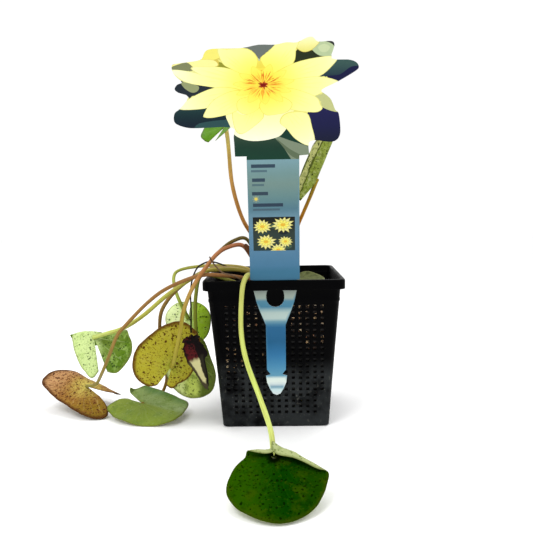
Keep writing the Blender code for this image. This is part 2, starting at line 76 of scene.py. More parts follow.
# Each blade: where the stalk meets it, which way its midrib and its upper side point, the height of its
# waves, its outline when laid flat, and its curls. The outline gives, from the left lobe round the tip to
# the right lobe, the degrees from the tip and the millimetres from the stalk. A curl gives the degrees from
# the tip of the way that it runs, the millimetres from the stalk to where it starts, the millimetres that
# it takes, and the degrees that it turns up.
BLADES = {
    "leaf_front": dict(
        foot=(-1, -150, 20.8), tip=(0.06, -0.92, -0.36), face=(0, -0.36, 0.93), wave=1,
        outline=[(-172, 14), (-150, 18), (-120, 20), (-95, 24), (-72, 35), (-50, 39), (-25, 45), (0, 48),
                 (25, 45), (50, 40), (70, 29), (90, 20), (115, 18), (150, 14), (172, 14)],
        curls=[(170, 5, 5, 165), (-142, 7, 5, 165), (0, 20, 28, -9)],
    ),
    "leaf_brown": dict(
        foot=(-173.5, 6, 20.5), tip=(-0.89, 0.35, 0.29), face=(-0.1, 0.45, -0.89), wave=0.8,
        outline=[(-167, 20), (-160, 29), (-148, 32), (-120, 28), (-90, 26), (-55, 27), (-25, 30), (-9, 35),
                 (8, 42), (25, 41), (41, 34), (60, 29), (85, 26), (114, 31), (140, 40), (155, 42),
                 (163, 33), (169, 18)],
        curls=[(-90, 0, 26, 88)],
    ),
    "leaf_folded": dict(
        foot=(-149.5, -40, 76.5), tip=(-0.39, 0.5, 0.78), face=(-0.15, 0.8, -0.58), wave=0.8,
        outline=[(-176, 34), (-166, 40), (-150, 39.5), (-136, 37.5), (-123, 34), (-110, 28.5), (-95, 23.5),
                 (-60, 20), (-29, 24), (0, 27), (30, 25), (60, 20), (95, 18), (120, 20), (150, 29),
                 (162, 35), (172, 30)],
        curls=[(61, 2, 26, 50), (-119, 2, 28, -30), (-29, 2, 10, 120)],
    ),
    "leaf_olive": dict(
        foot=(-81, -66, 58.5), tip=(0.2, 0.18, 0.96), face=(-0.2, 0.97, -0.15), wave=0.8,
        outline=[(-184, 15), (-168, 17), (-150, 15), (-125, 16), (-100, 17), (-75, 20), (-50, 27),
                 (-25, 33), (0, 36), (15, 34), (45, 30), (75, 31), (105, 30), (125, 27), (142, 23),
                 (153, 18)],
        curls=[(-90, 0, 30, 40), (90, 0, 30, 10)],
    ),
    "leaf_floor": dict(
        foot=(-119, -9, 9), tip=(0.87, -0.48, -0.15), face=(0.05, -0.25, 0.97), wave=1.2,
        outline=[(-163, 29), (-150, 25), (-137, 27), (-120, 25), (-95, 24), (-65, 24), (-42, 32), (-28, 41),
                 (-10, 43), (12, 45), (25, 41), (40, 36), (60, 32), (90, 29), (115, 29), (132, 31),
                 (143, 27), (157, 22), (176, 16)],
        curls=[(-90, 0, 26, 12), (0, 0, 41, 8), (180, 0, 31, 8), (-164, 20, 6, 110)],
    ),
    "leaf_side": dict(
        foot=(-70.5, -40, 64), tip=(0.1, -0.08, -0.99), face=(-0.16, -0.98, 0.1), wave=0.8,
        outline=[(-168, 13), (-128, 16), (-97, 16), (-68, 21), (-42, 32), (-25, 38), (-9, 39), (13, 37),
                 (31, 33), (60, 25), (90, 20), (130, 17), (168, 13)],
        curls=[(-90, 0, 20, 20), (90, 0, 20, 20), (0, 0, 38, 15)],
    ),
    "leaf_back": dict(
        foot=(-78, 5, 83), tip=(-0.02, -0.1, -0.99), face=(-0.1, 0.99, -0.1), wave=0.8,
        outline=[(-170, 15), (-130, 18), (-90, 21), (-45, 24), (0, 27), (45, 24), (90, 21), (130, 18),
                 (170, 15)],
        curls=[(-90, 0, 21, 25), (90, 0, 21, 25), (0, 0, 27, 15)],
    ),
    "leaf_upright": dict(
        foot=(-38, -20, 249), tip=(0.55, 0.45, 0.7), face=(-0.45, -0.5, 0.74), wave=1,
        outline=[(-164, 20), (-130, 23), (-90, 24), (-45, 27), (0, 30), (45, 27), (90, 24), (130, 23),
                 (164, 20)],
        curls=[(-90, 0, 24, 15), (90, 0, 24, 45), (0, 0, 30, -10)],
    ),
    "leaf_furled": dict(
        foot=(37, -19, 204), tip=(0.4, -0.05, 0.91), face=(-0.88, -0.2, 0.4), wave=0,
        outline=[(-160, 23), (-130, 25), (-90, 25), (-45, 32), (0, 40), (45, 32), (90, 25), (130, 25),
                 (160, 23)],
        curls=[(-90, 0, 2, 58), (-90, 2, 23, 150), (90, 0, 2, 58), (90, 2, 23, 150)],
    ),
    "leaf_inside": dict(
        foot=(22, -12, 119), tip=(0.98, -0.1, 0.06), face=(-0.05, -0.25, 0.97), wave=0.5,
        outline=[(-168, 6), (-90, 10), (-45, 15), (0, 22), (45, 15), (90, 10), (168, 6)],
        curls=[(-90, 0, 10, 25), (90, 0, 10, 15), (0, 0, 22, -10)],
    ),
    "leaf_dead": dict(
        foot=(-63.2, -77.5, 83), tip=(0.27, 0.02, -0.96), face=(0.1, -0.99, 0), wave=2,
        outline=[(-170, 2.5), (-120, 4), (-90, 6), (-60, 8.5), (-40, 12), (-25, 17), (-14, 22), (-6, 33),
                 (0, 41), (6, 34), (14, 24), (25, 18), (40, 12), (60, 9), (90, 6.5), (120, 4), (170, 2.5)],
        curls=[(-90, 2, 6, 50), (90, 2, 6, 35), (0, 20, 21, -20)],
    ),
}

# Each stalk: its diameter, the blade that it carries, its material slot, its specks' colour, the share of its
# width that it loses on the way, the colour of its very end where that shows through the blade (painted
# shade, matching the shade painted round the blade's stalk), its colours from the crown to the blade, and its
# route.
STALKS = {
    "stalk_front": dict(
        # its end is painted shade: the near black that is painted round its blade's stalk
        width=3.8, blade="leaf_front", slot="stalk_green", speck=(176, 190, 86), end=(10, 24, 2),
        colours=[(176, 176, 96), (208, 216, 116), (216, 234, 120), (240, 252, 154)],
        route=[(-8, -30, 119), (-18, -48, 127.5), (-22, -60, 126.5), (-24.5, -67, 116), (-25, -80, 90),
               (-20.5, -98, 71), (-10.5, -121, 51), (-3.5, -134.5, 34), (-2, -138.5, 22),
               (-1.5, -142.5, 14)],
    ),
    "stalk_brown": dict(
        width=3.6, blade="leaf_brown", slot="stalk_pink", speck=(106, 72, 38), taper=0.32,
        colours=[(150, 104, 66), (156, 112, 64), (162, 124, 66), (152, 142, 72), (162, 158, 86)],
        route=[(-10, -22, 116), (-24, -40, 124), (-40, -48, 127.5), (-59, -50, 128), (-84, -52, 119),
               (-100, -56, 108), (-115.5, -62, 92.5), (-123, -66, 83.5), (-130, -67, 67), (-140, -58, 49),
               (-154, -28, 33)],
    ),
    "stalk_folded": dict(
        width=3.6, blade="leaf_folded", slot="stalk_green", speck=(140, 120, 50), taper=0.12,
        colours=[(176, 160, 84), (182, 174, 76), (194, 196, 86), (214, 232, 130)],
        route=[(-10, -12, 117), (-24, -22, 128), (-45, -30, 130.5), (-60, -34, 128), (-85, -41, 113),
               (-106, -48, 96), (-121, -52, 87), (-136, -50, 82)],
    ),
    "stalk_olive": dict(
        width=3.4, blade="leaf_olive", slot="stalk_pink", speck=(124, 66, 40), taper=0.1,
        colours=[(150, 104, 60), (180, 116, 80), (184, 130, 78), (172, 158, 60), (170, 162, 56)],
        route=[(-8, -18, 121), (-18, -26, 140), (-26, -30, 150.5), (-38, -36, 149), (-46, -43, 144),
               (-55, -52, 133), (-61, -60, 124), (-65.5, -70, 114), (-69, -77, 102), (-71, -80, 89),
               (-76.5, -77, 68)],
    ),
    "stalk_floor": dict(
        width=3.4, blade="leaf_floor", slot="stalk_olive", speck=(96, 60, 30), taper=0.15,
        colours=[(176, 152, 96), (156, 124, 66), (146, 110, 42), (146, 116, 44)],
        route=[(-10, -2, 117), (-26, -10, 127), (-48, -18, 130.5), (-64, -24, 126), (-79, -30, 116),
               (-90, -32, 104), (-96, -30, 91), (-99, -18, 67), (-101, 8, 40), (-104, 26, 18),
               (-110, 20, 4.5), (-116, 4, 3.5)],
    ),
    "stalk_side": dict(
        width=3.2, blade="leaf_side", slot="stalk_green", speck=(96, 100, 30),
        colours=[(170, 160, 90), (150, 156, 66), (140, 150, 50), (150, 160, 60)],
        route=[(-10, -27, 112), (-30, -38, 120), (-48, -41, 126.5), (-59.5, -42, 126.5), (-64, -40, 110),
               (-65.5, -37, 92), (-66, -34, 75)],
    ),
    "stalk_dead": dict(
        width=1.3, blade=None, slot="stalk_dead", speck=(50, 30, 24),
        colours=[(22, 16, 14), (12, 9, 9), (12, 8, 8)],
        route=[(-10, -6, 114.5), (-26, -8, 123.5), (-50, -14, 135), (-60.5, -26, 134.5), (-65, -38, 128.5),
               (-66.5, -50, 117), (-65, -62, 100), (-63.2, -77.5, 88)],
    ),
    "stalk_back": dict(
        width=3.1, blade="leaf_back", slot="stalk_green", speck=(110, 100, 40),
        colours=[(176, 150, 80), (176, 166, 82), (170, 180, 74), (160, 186, 70)],
        route=[(-10, 6, 117), (-26, 20, 126), (-54, 33, 127.5), (-78, 40, 125.5), (-92, 40, 122),
               (-95, 34, 116), (-91, 18, 108), (-85, 2, 100)],
    ),
    "stalk_upright": dict(
        width=3.4, blade="leaf_upright", slot="stalk_olive", speck=(130, 74, 34),
        colours=[(180, 112, 44), (188, 124, 54), (198, 150, 78), (224, 210, 112)],
        route=[(3, 2, 121.5), (-8, -3, 140), (-19, -8, 159), (-25, -13, 170), (-30, -17, 185),
               (-34, -18, 204), (-36, -14, 228), (-37, -12, 240)],
    ),
    "stalk_furled": dict(
        width=3.2, blade="leaf_furled", slot="stalk_olive", speck=(120, 56, 24),
        colours=[(176, 96, 36), (190, 108, 30), (188, 128, 22), (172, 156, 44)],
        route=[(8, -4, 121.5), (15, -6, 143), (21, -10, 164), (26, -13, 176), (32, -17, 190)],
    ),
    "stalk_inside": dict(
        width=2.2, blade="leaf_inside", slot="stalk_olive", speck=(70, 60, 30),
        colours=[(110, 100, 56), (110, 100, 56)],
        route=[(15.5, -8, 111.5), (17.5, -10, 112.5), (20, -11, 115)],
    ),
    "stalk_bare": dict(
        width=3, blade=None, slot="stalk_olive", speck=(60, 44, 20),
        colours=[(118, 100, 52), (110, 96, 42), (104, 88, 40)],
        route=[(-4, -8, 121.5), (-13.5, -14, 138.5), (-22.5, -20, 155), (-33, -28, 154), (-43, -35, 147),
               (-51, -41, 139)],
    ),
    "stalk_broken": dict(
        width=4.6, blade=None, slot="stalk_olive", speck=(50, 28, 14),
        colours=[(96, 64, 34), (112, 72, 36), (96, 58, 28)],
        route=[(0, -18, 121.5), (-8, -34, 132), (-15.5, -40, 141.5), (-22.5, -44, 151.5)],
    ),
    "stalk_dried": dict(
        width=1.2, blade=None, slot="stalk_dead", speck=(70, 52, 40),
        colours=[(120, 100, 80), (128, 106, 84), (96, 74, 56)],
        route=[(-12, -34, 111.5), (-30, -49.5, 126.5), (-40.5, -52.5, 130.5), (-48, -52, 138.5),
               (-50.5, -51, 143)],
    ),
}

HEAD_OUTLINE = [  # the printed flower and its pads, clockwise from the lower left, across and up the label
    (-28, 97), (-28.5, 111), (-29.5, 118), (-54, 118), (-62.5, 118.5), (-69.5, 121), (-71.5, 124),
    (-70.5, 129), (-66.5, 132), (-60, 140), (-67, 143), (-69.5, 145.5), (-67.5, 148.5), (-64, 150),
    (-67.5, 153.5), (-70, 157), (-70.5, 161), (-68, 162.5), (-54.5, 164), (-49, 165.5), (-46.5, 170),
    (-41, 172), (-21.5, 172), (-9, 174), (2.5, 173.8), (10.8, 175.2), (18, 175), (25, 178), (29.2, 178.2),
    (32.8, 175.2), (42, 175.4), (44.3, 172.5), (42.5, 164), (54, 163), (59.2, 161.5), (61.6, 158.5),
    (59.8, 155.5), (47.2, 148.5), (35.5, 143), (39, 139.5), (42.5, 136), (45.5, 129), (48, 126.5),
    (49.4, 116.5), (49, 111), (46.5, 107.5), (41.5, 106.4), (31.6, 107.8), (26.5, 106), (26.8, 97.5),
]
STAKE_OUTLINE = [  # the right edge of the panel and of the locking stake, downward from the flower head
    (PANEL_HALF, PANEL_TOP), (PANEL_HALF, 0.4), (17.2, 0.4), (17, -8.5), (15, -17.5), (12.8, -24),
    (7.9, -36.5), (7.7, -74), (4.7, -78), (8.6, -79.2), (7.8, -85), (5.5, -90.5), (3, -94.5),
]
STAKE_TIP = (0, -95.8)
WINDOW_HALF = 7.2  # the round-ended window between the stake's prongs
WINDOW_RISE = (-14.5, -12)  # the centres of its lower and upper ends
WINDOW_STEPS = 8


def wall_half(z):
    """Half the width across the outside of the wall at a height."""
    return BASE_HALF + (WALL_TOP_HALF - BASE_HALF) * z / RIM_FOOT


SLOT_Y = wall_half(RIM_TOP) + LABEL_OFF_WALL * MM  # from the basket's middle to the slot in its rim


def label_place(across, up):
    """Where a point of the flat card is: leaning out above the rim, and along the wall below it."""
    if up > 0:
        out, rise = SLOT_Y + up * MM * math.sin(LABEL_LEAN), up * MM * math.cos(LABEL_LEAN)
    else:
        out, rise = SLOT_Y - wall_half(RIM_TOP) + wall_half(RIM_TOP + up * MM), up * MM
    return Vector(((LABEL_X + across) * MM, -out, RIM_TOP + rise))


def metres(point):
    """A place that the tables give in millimetres."""
    return Vector([MM * value for value in point])


def smooth_route(points, steps):
    """Points along a Catmull-Rom curve through the route's own points."""
    ends = [2 * points[0] - points[1]] + points + [2 * points[-1] - points[-2]]
    out = []
    for a, b, c, d in zip(ends, ends[1:], ends[2:], ends[3:]):
        for t in (i / steps for i in range(steps)):
            bend = (2 * a - 5 * b + 4 * c - d) * t * t + (3 * b - a - 3 * c + d) * t ** 3
            out.append(0.5 * (2 * b + (c - a) * t + bend))
    return out + [points[-1]]


def blade_frame(blade):
    """The blade's own axes: across, along the midrib, and out of the upper side."""
    along = Vector(blade["tip"]).normalized()
    across = along.cross(Vector(blade["face"])).normalized()
    return across, along, across.cross(along)


def reach_at(outline, degrees):
    """How far the edge is from the stalk at an angle, on a smooth curve through the outline's points."""
    last = len(outline) - 1
    upper = next((i for i in range(1, last) if outline[i][0] > degrees), last)
    slopes = []
    for i in (upper - 1, upper):
        (from_angle, from_reach), (to_angle, to_reach) = outline[max(i - 1, 0)], outline[min(i + 1, last)]
        slopes.append((to_reach - from_reach) / (to_angle - from_angle))
    (low, low_reach), (high, high_reach) = outline[upper - 1], outline[upper]
    span = high - low
    t = (degrees - low) / span
    return (
        (1 + 2 * t) * (1 - t) ** 2 * low_reach + t * t * (3 - 2 * t) * high_reach
        + span * t * (1 - t) * ((1 - t) * slopes[0] - t * slopes[1])
    )


def curled(past, height, arc, turn):
    """Distance and height past the start of a curl: round its arc, and then straight on."""
    if past <= 0.0:
        return past, height
    radius = arc / math.radians(turn)
    angle = min(past, arc) / radius
    rest = max(0.0, past - arc)
    out = radius * math.sin(angle) + rest * math.cos(angle) - height * math.sin(angle)
    rise = radius * (1.0 - math.cos(angle)) + rest * math.sin(angle) + height * math.cos(angle)
    return out, rise


def blade_place(blade, angle, share):
    """A point of the blade: the angle from the tip, and the share of the way from the stalk to the edge."""
    reach = MM * reach_at(blade["outline"], math.degrees(angle)) * share
    across, along = math.sin(angle) * reach, math.cos(angle) * reach
    height = MM * blade["wave"] * share ** 2 * math.sin(5.0 * angle + 1.0)
    for way, start, arc, turn in blade["curls"]:
        if 90 < abs(way) < 180 and way * angle < 0:
            continue  # it belongs to the other lobe
        way_across, way_along = math.sin(math.radians(way)), math.cos(math.radians(way))
        past = across * way_across + along * way_along - MM * start
        moved, height = curled(past, height, MM * arc, turn)
        across += (moved - past) * way_across
        along += (moved - past) * way_along
    x_axis, y_axis, z_axis = blade_frame(blade)
    return metres(blade["foot"]) + x_axis * across + y_axis * along + z_axis * height


# ---------------------------------------------------------------- meshes


def new_piece(name, points, faces, slot, nodes, smooth=True):
    """A mesh object that rides on the root body and stands for CAD nodes."""
    mesh = bpy.data.meshes.new(name)
    mesh.from_pydata([tuple(p) for p in points], [], faces)
    mesh.update()
    if smooth:
        mesh.shade_smooth()
    piece = bpy.data.objects.new(name, mesh)
    bpy.context.scene.collection.objects.link(piece)
    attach(piece, "root")
    if nodes:
        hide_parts(*nodes)
    return piece


def set_values(piece, name, values, kind="FLOAT"):
    """A named attribute, one value a vertex."""
    attribute = piece.data.attributes.new(name, kind, "POINT")
    key = "value" if kind == "FLOAT" else "vector"
    attribute.data.foreach_set(key, np.array(values, np.float32).ravel())


def band(low, high, around):
    """The faces between two loops of points, which are numbered from low and from high."""
    sides = [(i, (i + 1) % around) for i in range(around)]
    return [(low + i, low + j, high + j, high + i) for i, j in sides]


def ball(subdivisions, shape):
    """Points and faces of an icosphere whose unit vectors are changed by a function."""
    bm = bmesh.new()
    bmesh.ops.create_icosphere(bm, subdivisions=subdivisions, radius=1.0)
    points = [shape(vert.co.copy()) for vert in bm.verts]
    faces = [tuple(vert.index for vert in face.verts) for face in bm.faces]
    bm.free()
    return points, faces


# ---------------------------------------------------------------- shaders

LOW_SHINE = 0.05  # the studio is white all round, and wet leaves and black plastic stay deep in it
LIT_SHARE = 0.72  # the studio's light is brighter than 1, so a colour seen in it needs a darker surface


def tone(red, green, blue):
    """A surface's linear colour with alpha, from the 0-255 sRGB values that it shows in the studio."""
    channels = []
    for value in (red / 255, green / 255, blue / 255):
        linear = value / 12.92 if value <= 0.04045 else ((value + 0.055) / 1.055) ** 2.4
        channels.append(linear * LIT_SHARE)
    return (*channels, 1.0)


class Shader:
    """A material's nodes, with one method for each kind that it uses."""

    def __init__(self, name, roughness, **sockets):
        self.material = bpy.data.materials.new(name)
        self.material.use_nodes = True
        self.tree = self.material.node_tree
        self.bsdf = self.tree.nodes["Principled BSDF"]
        values = {"Roughness": roughness, "Specular_IOR_Level": LOW_SHINE, **sockets}
        for socket, value in values.items():
            self.bsdf.inputs[socket.replace("_", " ")].default_value = value

    def feed(self, socket, value):
        if isinstance(value, bpy.types.NodeSocket):
            self.tree.links.new(value, socket)
        else:
            socket.default_value = value

    def node(self, kind, settings, *inputs):
        """A new node; inputs are pairs of a socket's name or number and its value or link."""
        node = self.tree.nodes.new("ShaderNode" + kind)
        for key, value in settings.items():
            setattr(node, key, value)
        for socket, value in inputs:
            self.feed(node.inputs[socket], value)
        return node

    def math(self, operation, *values):
        return self.node("Math", {"operation": operation}, *enumerate(values)).outputs[0]

    def vector(self, operation, *values):
        return self.node("VectorMath", {"operation": operation}, *enumerate(values)).outputs

    def plus(self, a, b):
        return self.math("ADD", a, b)

    def times(self, a, b):
        return self.math("MULTIPLY", a, b)

    def smooth(self, value, low, high):
        """0 below low, 1 above high, and smooth between them; low may be the larger."""
        inputs = (("Value", value), ("From Min", low), ("From Max", high))
        return self.node("MapRange", {"interpolation_type": "SMOOTHSTEP"}, *inputs).outputs["Result"]

    def mix(self, share, a, b, blend="MIX"):
        settings = {"data_type": "RGBA", "blend_type": blend}
        return self.node("Mix", settings, (0, share), (6, a), (7, b)).outputs[2]

    def attribute(self, name, output="Vector"):
        return self.node("Attribute", {"attribute_name": name}).outputs[output]

    def place(self):
        return self.node("TexCoord", {}).outputs["Object"]

    def split(self, vector):
        return self.node("SeparateXYZ", {}, (0, vector)).outputs

    def noise(self, vector, scale, detail=3.0, rough=0.55, output="Fac"):
        inputs = (("Vector", vector), ("Scale", scale), ("Detail", detail), ("Roughness", rough))
        return self.node("TexNoise", {}, *inputs).outputs[output]

    def patches(self, vector, scale, low, high, detail=3.0, rough=0.55):
        """Where the noise is high: 0 below low and 1 above high."""
        return self.smooth(self.noise(vector, scale, detail, rough), low, high)

    def voronoi(self, vector, scale, feature="F1"):
        return self.node("TexVoronoi", {"feature": feature}, ("Vector", vector), ("Scale", scale)).outputs

    def ramp(self, value, stops):
        node = self.node("ValToRGB", {}, (0, value))
        elements = node.color_ramp.elements
        while len(elements) < len(stops):
            elements.new(0.5)
        for element, (place, colour) in zip(elements, stops):
            element.position = place
            element.color = tone(*colour)
        return node.outputs[0]

    def uneven(self, share, spread, least):
        """A roughness that follows a share."""
        return self.math("MULTIPLY_ADD", share, spread, least)

    def finish(self, colour, height, strength, depth, rough=None):
        """The material, with its colour, its bump, and its roughness where that varies."""
        self.feed(self.bsdf.inputs["Base Color"], colour)
        if rough is not None:
            self.feed(self.bsdf.inputs["Roughness"], rough)
        inputs = (("Height", height), ("Strength", strength), ("Distance", depth))
        self.feed(self.bsdf.inputs["Normal"], self.node("Bump", {}, *inputs).outputs[0])
        return self.material


# ---------------------------------------------------------------- basket

HOLE_HALF = 0.00135
HOLE_PITCH = 0.0059
HOLE_COLUMNS = 14
HOLE_TOP = 0.102
HOLE_ROWS = 19
ROW_PITCH = 0.00494
LAST_FULL_ROW = 0.032  # below this height the outermost columns have no holes
STRAIGHT_HALF = 0.0399  # the least half length of a wall's straight part
CORNER_PARTS = 6
BASE_CHAMFER = 0.0012
RIB_DEPTH = 0.0007
SLOT_HALF = 0.0006
SLOT_COLUMNS = (10, 17)  # the hole columns' edges between which the rim's slot lies

FOOT_LEVELS = (0.0010, 0.0045, 0.0085)
LEDGE = (  # the line moulded round the wall above the holes: height, and how proud it stands
    (0.1055, 0.0), (0.1062, 0.0004), (0.1078, 0.0004), (0.1085, 0.0), (0.1150, 0.0),
)
RIM_UNDER = RIM_TOP - RIM_SHEET
RIM_PROFILE = [  # half width and height, from under the rim, round its skirt, to its top
    (wall_half(RIM_UNDER), RIM_UNDER), (SLOT_Y - SLOT_HALF, RIM_UNDER), (SLOT_Y + SLOT_HALF, RIM_UNDER),
    (RIM_HALF - RIM_SHEET, RIM_UNDER), (RIM_HALF - RIM_SHEET, RIM_FOOT + 0.0003),
    (RIM_HALF - RIM_SHEET + 0.0003, RIM_FOOT), (RIM_HALF - 0.0003, RIM_FOOT), (RIM_HALF, RIM_FOOT + 0.0004),
    (RIM_HALF, RIM_TOP - 0.0014), (RIM_HALF - 0.0004, RIM_TOP - 0.0004), (RIM_HALF - 0.0012, RIM_TOP),
    (SLOT_Y + SLOT_HALF, RIM_TOP), (SLOT_Y - SLOT_HALF, RIM_TOP),
]
SLOT_LOOPS = (1, 11)  # the loops of the rim at which the slot's tunnel starts and ends
INNER_TOP = [  # inside the rim: half width, depth under the top, and whether it has ribs
    (0.0540, 0.0, False), (0.0536, 0.0006, False), (0.0535, 0.0022, False), (0.0534, 0.0030, True),
    (0.0530, 0.0056, True), (0.0524, 0.0060, False),
]


def square_loop(half, straight, height):
    """Points round a rounded square: each wall's hole edges, then the corner's arc."""
    middle, limit = (HOLE_COLUMNS - 1) / 2, straight - 0.0001
    edges = [(k - middle) * HOLE_PITCH + side * HOLE_HALF for k in range(HOLE_COLUMNS) for side in (-1, 1)]
    edges[:2] = [max(-limit, u) for u in edges[:2]]
    edges[-2:] = [min(limit, u) for u in edges[-2:]]
    line = [(u, -half) for u in edges]
    radius = half - straight
    for part in range(CORNER_PARTS + 1):
        angle = math.pi / 2 * part / CORNER_PARTS
        line.append((straight + radius * math.sin(angle), -straight - radius * math.cos(angle)))
    turns = [Matrix.Rotation(side * math.pi / 2, 3, "Z") for side in range(4)]
    return [turn @ Vector((x, y, height)) for turn in turns for x, y in line]


def wall_loop(height, inset):
    half = wall_half(height)
    return square_loop(half - inset, max(STRAIGHT_HALF, half - CORNER_RADIUS), height)


def inner_loop(half, depth, ribbed):
    """A loop inside the rim, pushed in at every other hole column where it has ribs."""
    straight = half - CORNER_RADIUS + 0.001
    loop = square_loop(half, straight, RIM_TOP - depth)
    if ribbed:
        ribs = square_loop(half - RIB_DEPTH, straight, RIM_TOP - depth)
        for i in range(len(loop)):
            step = i % (len(loop) // 4)
            if step < 2 * HOLE_COLUMNS and step // 2 % 2:
                loop[i] = ribs[i]
    return loop


def make_basket():
    """One closed skin round wall, rim and floor, with tunnels for the holes and the label's slot."""
    rows = [HOLE_TOP - k * ROW_PITCH for k in reversed(range(HOLE_ROWS))]
    levels = [row + side * HOLE_HALF for row in rows for side in (-1, 1)]
    loops = [square_loop(BASE_HALF - BASE_CHAMFER, STRAIGHT_HALF - BASE_CHAMFER, 0.0)]
    loops += [wall_loop(height, 0.0) for height in FOOT_LEVELS]
    first_outer = len(loops)
    loops += [wall_loop(level, 0.0) for level in levels]
    loops += [wall_loop(height, -proud) for height, proud in LEDGE]
    slot_low, slot_high = (len(loops) + number for number in SLOT_LOOPS)
    loops += [square_loop(half, half - CORNER_RADIUS, z) for half, z in RIM_PROFILE]
    loops += [inner_loop(*values) for values in INNER_TOP]
    loops += [wall_loop(height, BASKET_WALL) for height in (0.1150, 0.1070)]
    last_inner = len(loops) + len(levels) - 1
    loops += [wall_loop(level, BASKET_WALL) for level in reversed(levels)]
    loops.append(wall_loop(BASKET_WALL + 0.0008, BASKET_WALL))
    loops.append(square_loop(BASE_HALF - 0.0026, STRAIGHT_HALF - BASE_CHAMFER, BASKET_WALL))
    around = len(loops[0])

    def corner(loop, i):
        return loop * around + i % around

    tunnels = {(slot_low, step): slot_high for step in range(*SLOT_COLUMNS)}  # outer cell to inner loop
    for row, centre in enumerate(rows):
        narrow = centre < LAST_FULL_ROW
        for side in range(4):
            for column in range(narrow, HOLE_COLUMNS - narrow):
                step = side * around // 4 + 2 * column
                tunnels[(first_outer + 2 * row, step)] = last_inner - 2 * row - 1
    closed = set(tunnels) | {(inner, step) for (_, step), inner in tunnels.items()}
    faces = []
    for loop in range(len(loops) - 1):
        quads = band(loop * around, (loop + 1) * around, around)
        faces += [quad for i, quad in enumerate(quads) if (loop, i) not in closed]
    for (outer, step), inner in tunnels.items():
        # the outer opening's corners, and the inner opening's: inner loops run the other way up
        steps = (step, step + 1, step + 1, step)
        ring = [corner(outer + rise, i) for rise, i in zip((0, 0, 1, 1), steps)]
        far = [corner(inner + rise, i) for rise, i in zip((1, 1, 0, 0), steps)]
        sides = [0, 1, 2, 3]
        if outer == slot_low:  # neighbouring cells of the slot share one opening
            ends = [3] * (step == SLOT_COLUMNS[0]) + [1] * (step == SLOT_COLUMNS[1] - 1)
            sides = [0, 2] + ends
        faces += [(ring[k], ring[(k + 1) % 4], far[(k + 1) % 4], far[k]) for k in sides]
    faces.append(tuple(reversed(range(around))))
    faces.append(tuple(corner(len(loops) - 1, i) for i in range(around)))
    points = [p for loop in loops for p in loop]
    basket = new_piece("basket_mesh", points, faces, "basket_plastic", ["basket"])
    basket.data.set_sharp_from_angle(angle=math.radians(35))

    shader = Shader("moulded_black_plastic", 0.42, Specular_IOR_Level=0.03)
    place = shader.place()
    dust = shader.noise(place, 55.0, 5.0, 0.6)
    low = shader.smooth(shader.split(place)[2], 0.060, 0.040)
    colour = shader.mix(shader.times(low, shader.smooth(dust, 0.30, 0.62)), tone(1, 1, 2), tone(46, 49, 50))
    scale = shader.times(low, shader.patches(place, 420.0, 0.60, 0.74, 4.0))
    colour = shader.mix(shader.times(scale, 0.55), colour, tone(112, 112, 104))
    fine = shader.noise(place, 1400.0)
    basket.data.materials.append(shader.finish(colour, fine, 0.25, 0.0004, shader.uneven(dust, 0.35, 0.22)))


# ---------------------------------------------------------------- gravel and soil

BLOCK_LEVELS = 30
MOUND_RINGS = 26
STONE_TRIES = 2600
STONE_SIZES = (0.0012, 0.0016, 0.0019, 0.0023, 0.0030)
STONE_SPACING = 0.78  # of the two stones' sizes
STONES_OFF_WALL = 0.0035
STONE_PLANES = 7
DRY_PATCHES = (  # where dry stones show through the front: across, up, and how far
    (0.026, 0.088, 0.016), (0.033, 0.074, 0.010), (-0.034, 0.058, 0.010), (-0.022, 0.092, 0.010),
)


def rough_stone(rng, size):
    """One stone's points and faces: a ball pushed in on several planes and roughened."""
    squash = Vector((rng.uniform(0.8, 1.2), rng.uniform(0.7, 1.0), rng.uniform(0.5, 0.8)))
    offset = Vector([rng.uniform(-50, 50) for _ in range(3)])
    planes = [Vector([rng.gauss(0, 1) for _ in range(3)]).normalized() for _ in range(STONE_PLANES)]
    turn = Matrix.Rotation(rng.uniform(0, math.tau), 3, "Z")
    turn = turn @ Matrix.Rotation(rng.uniform(-0.5, 0.5), 3, "X")

    def shape(place):
        for plane in planes:
            place -= plane * max(0.0, place.dot(plane) - 0.72) * 0.8
        place *= 1.0 + 0.10 * noise.noise(place * 2.2 + offset)
        return turn @ (place * squash * size)

    return ball(2, shape)


def medium_height(x, y):
    """The gravel's surface, without its stones."""
    edge = max(abs(x), abs(y)) / (wall_half(MEDIUM_TOP) - BASKET_WALL)
    mound = MEDIUM_MOUND * (1.0 - min(1.0, edge) ** 3)
    return MEDIUM_TOP - MEDIUM_MOUND - 0.0006 + mound + 0.0008 * noise.noise(Vector((x, y, 0)) * 90)


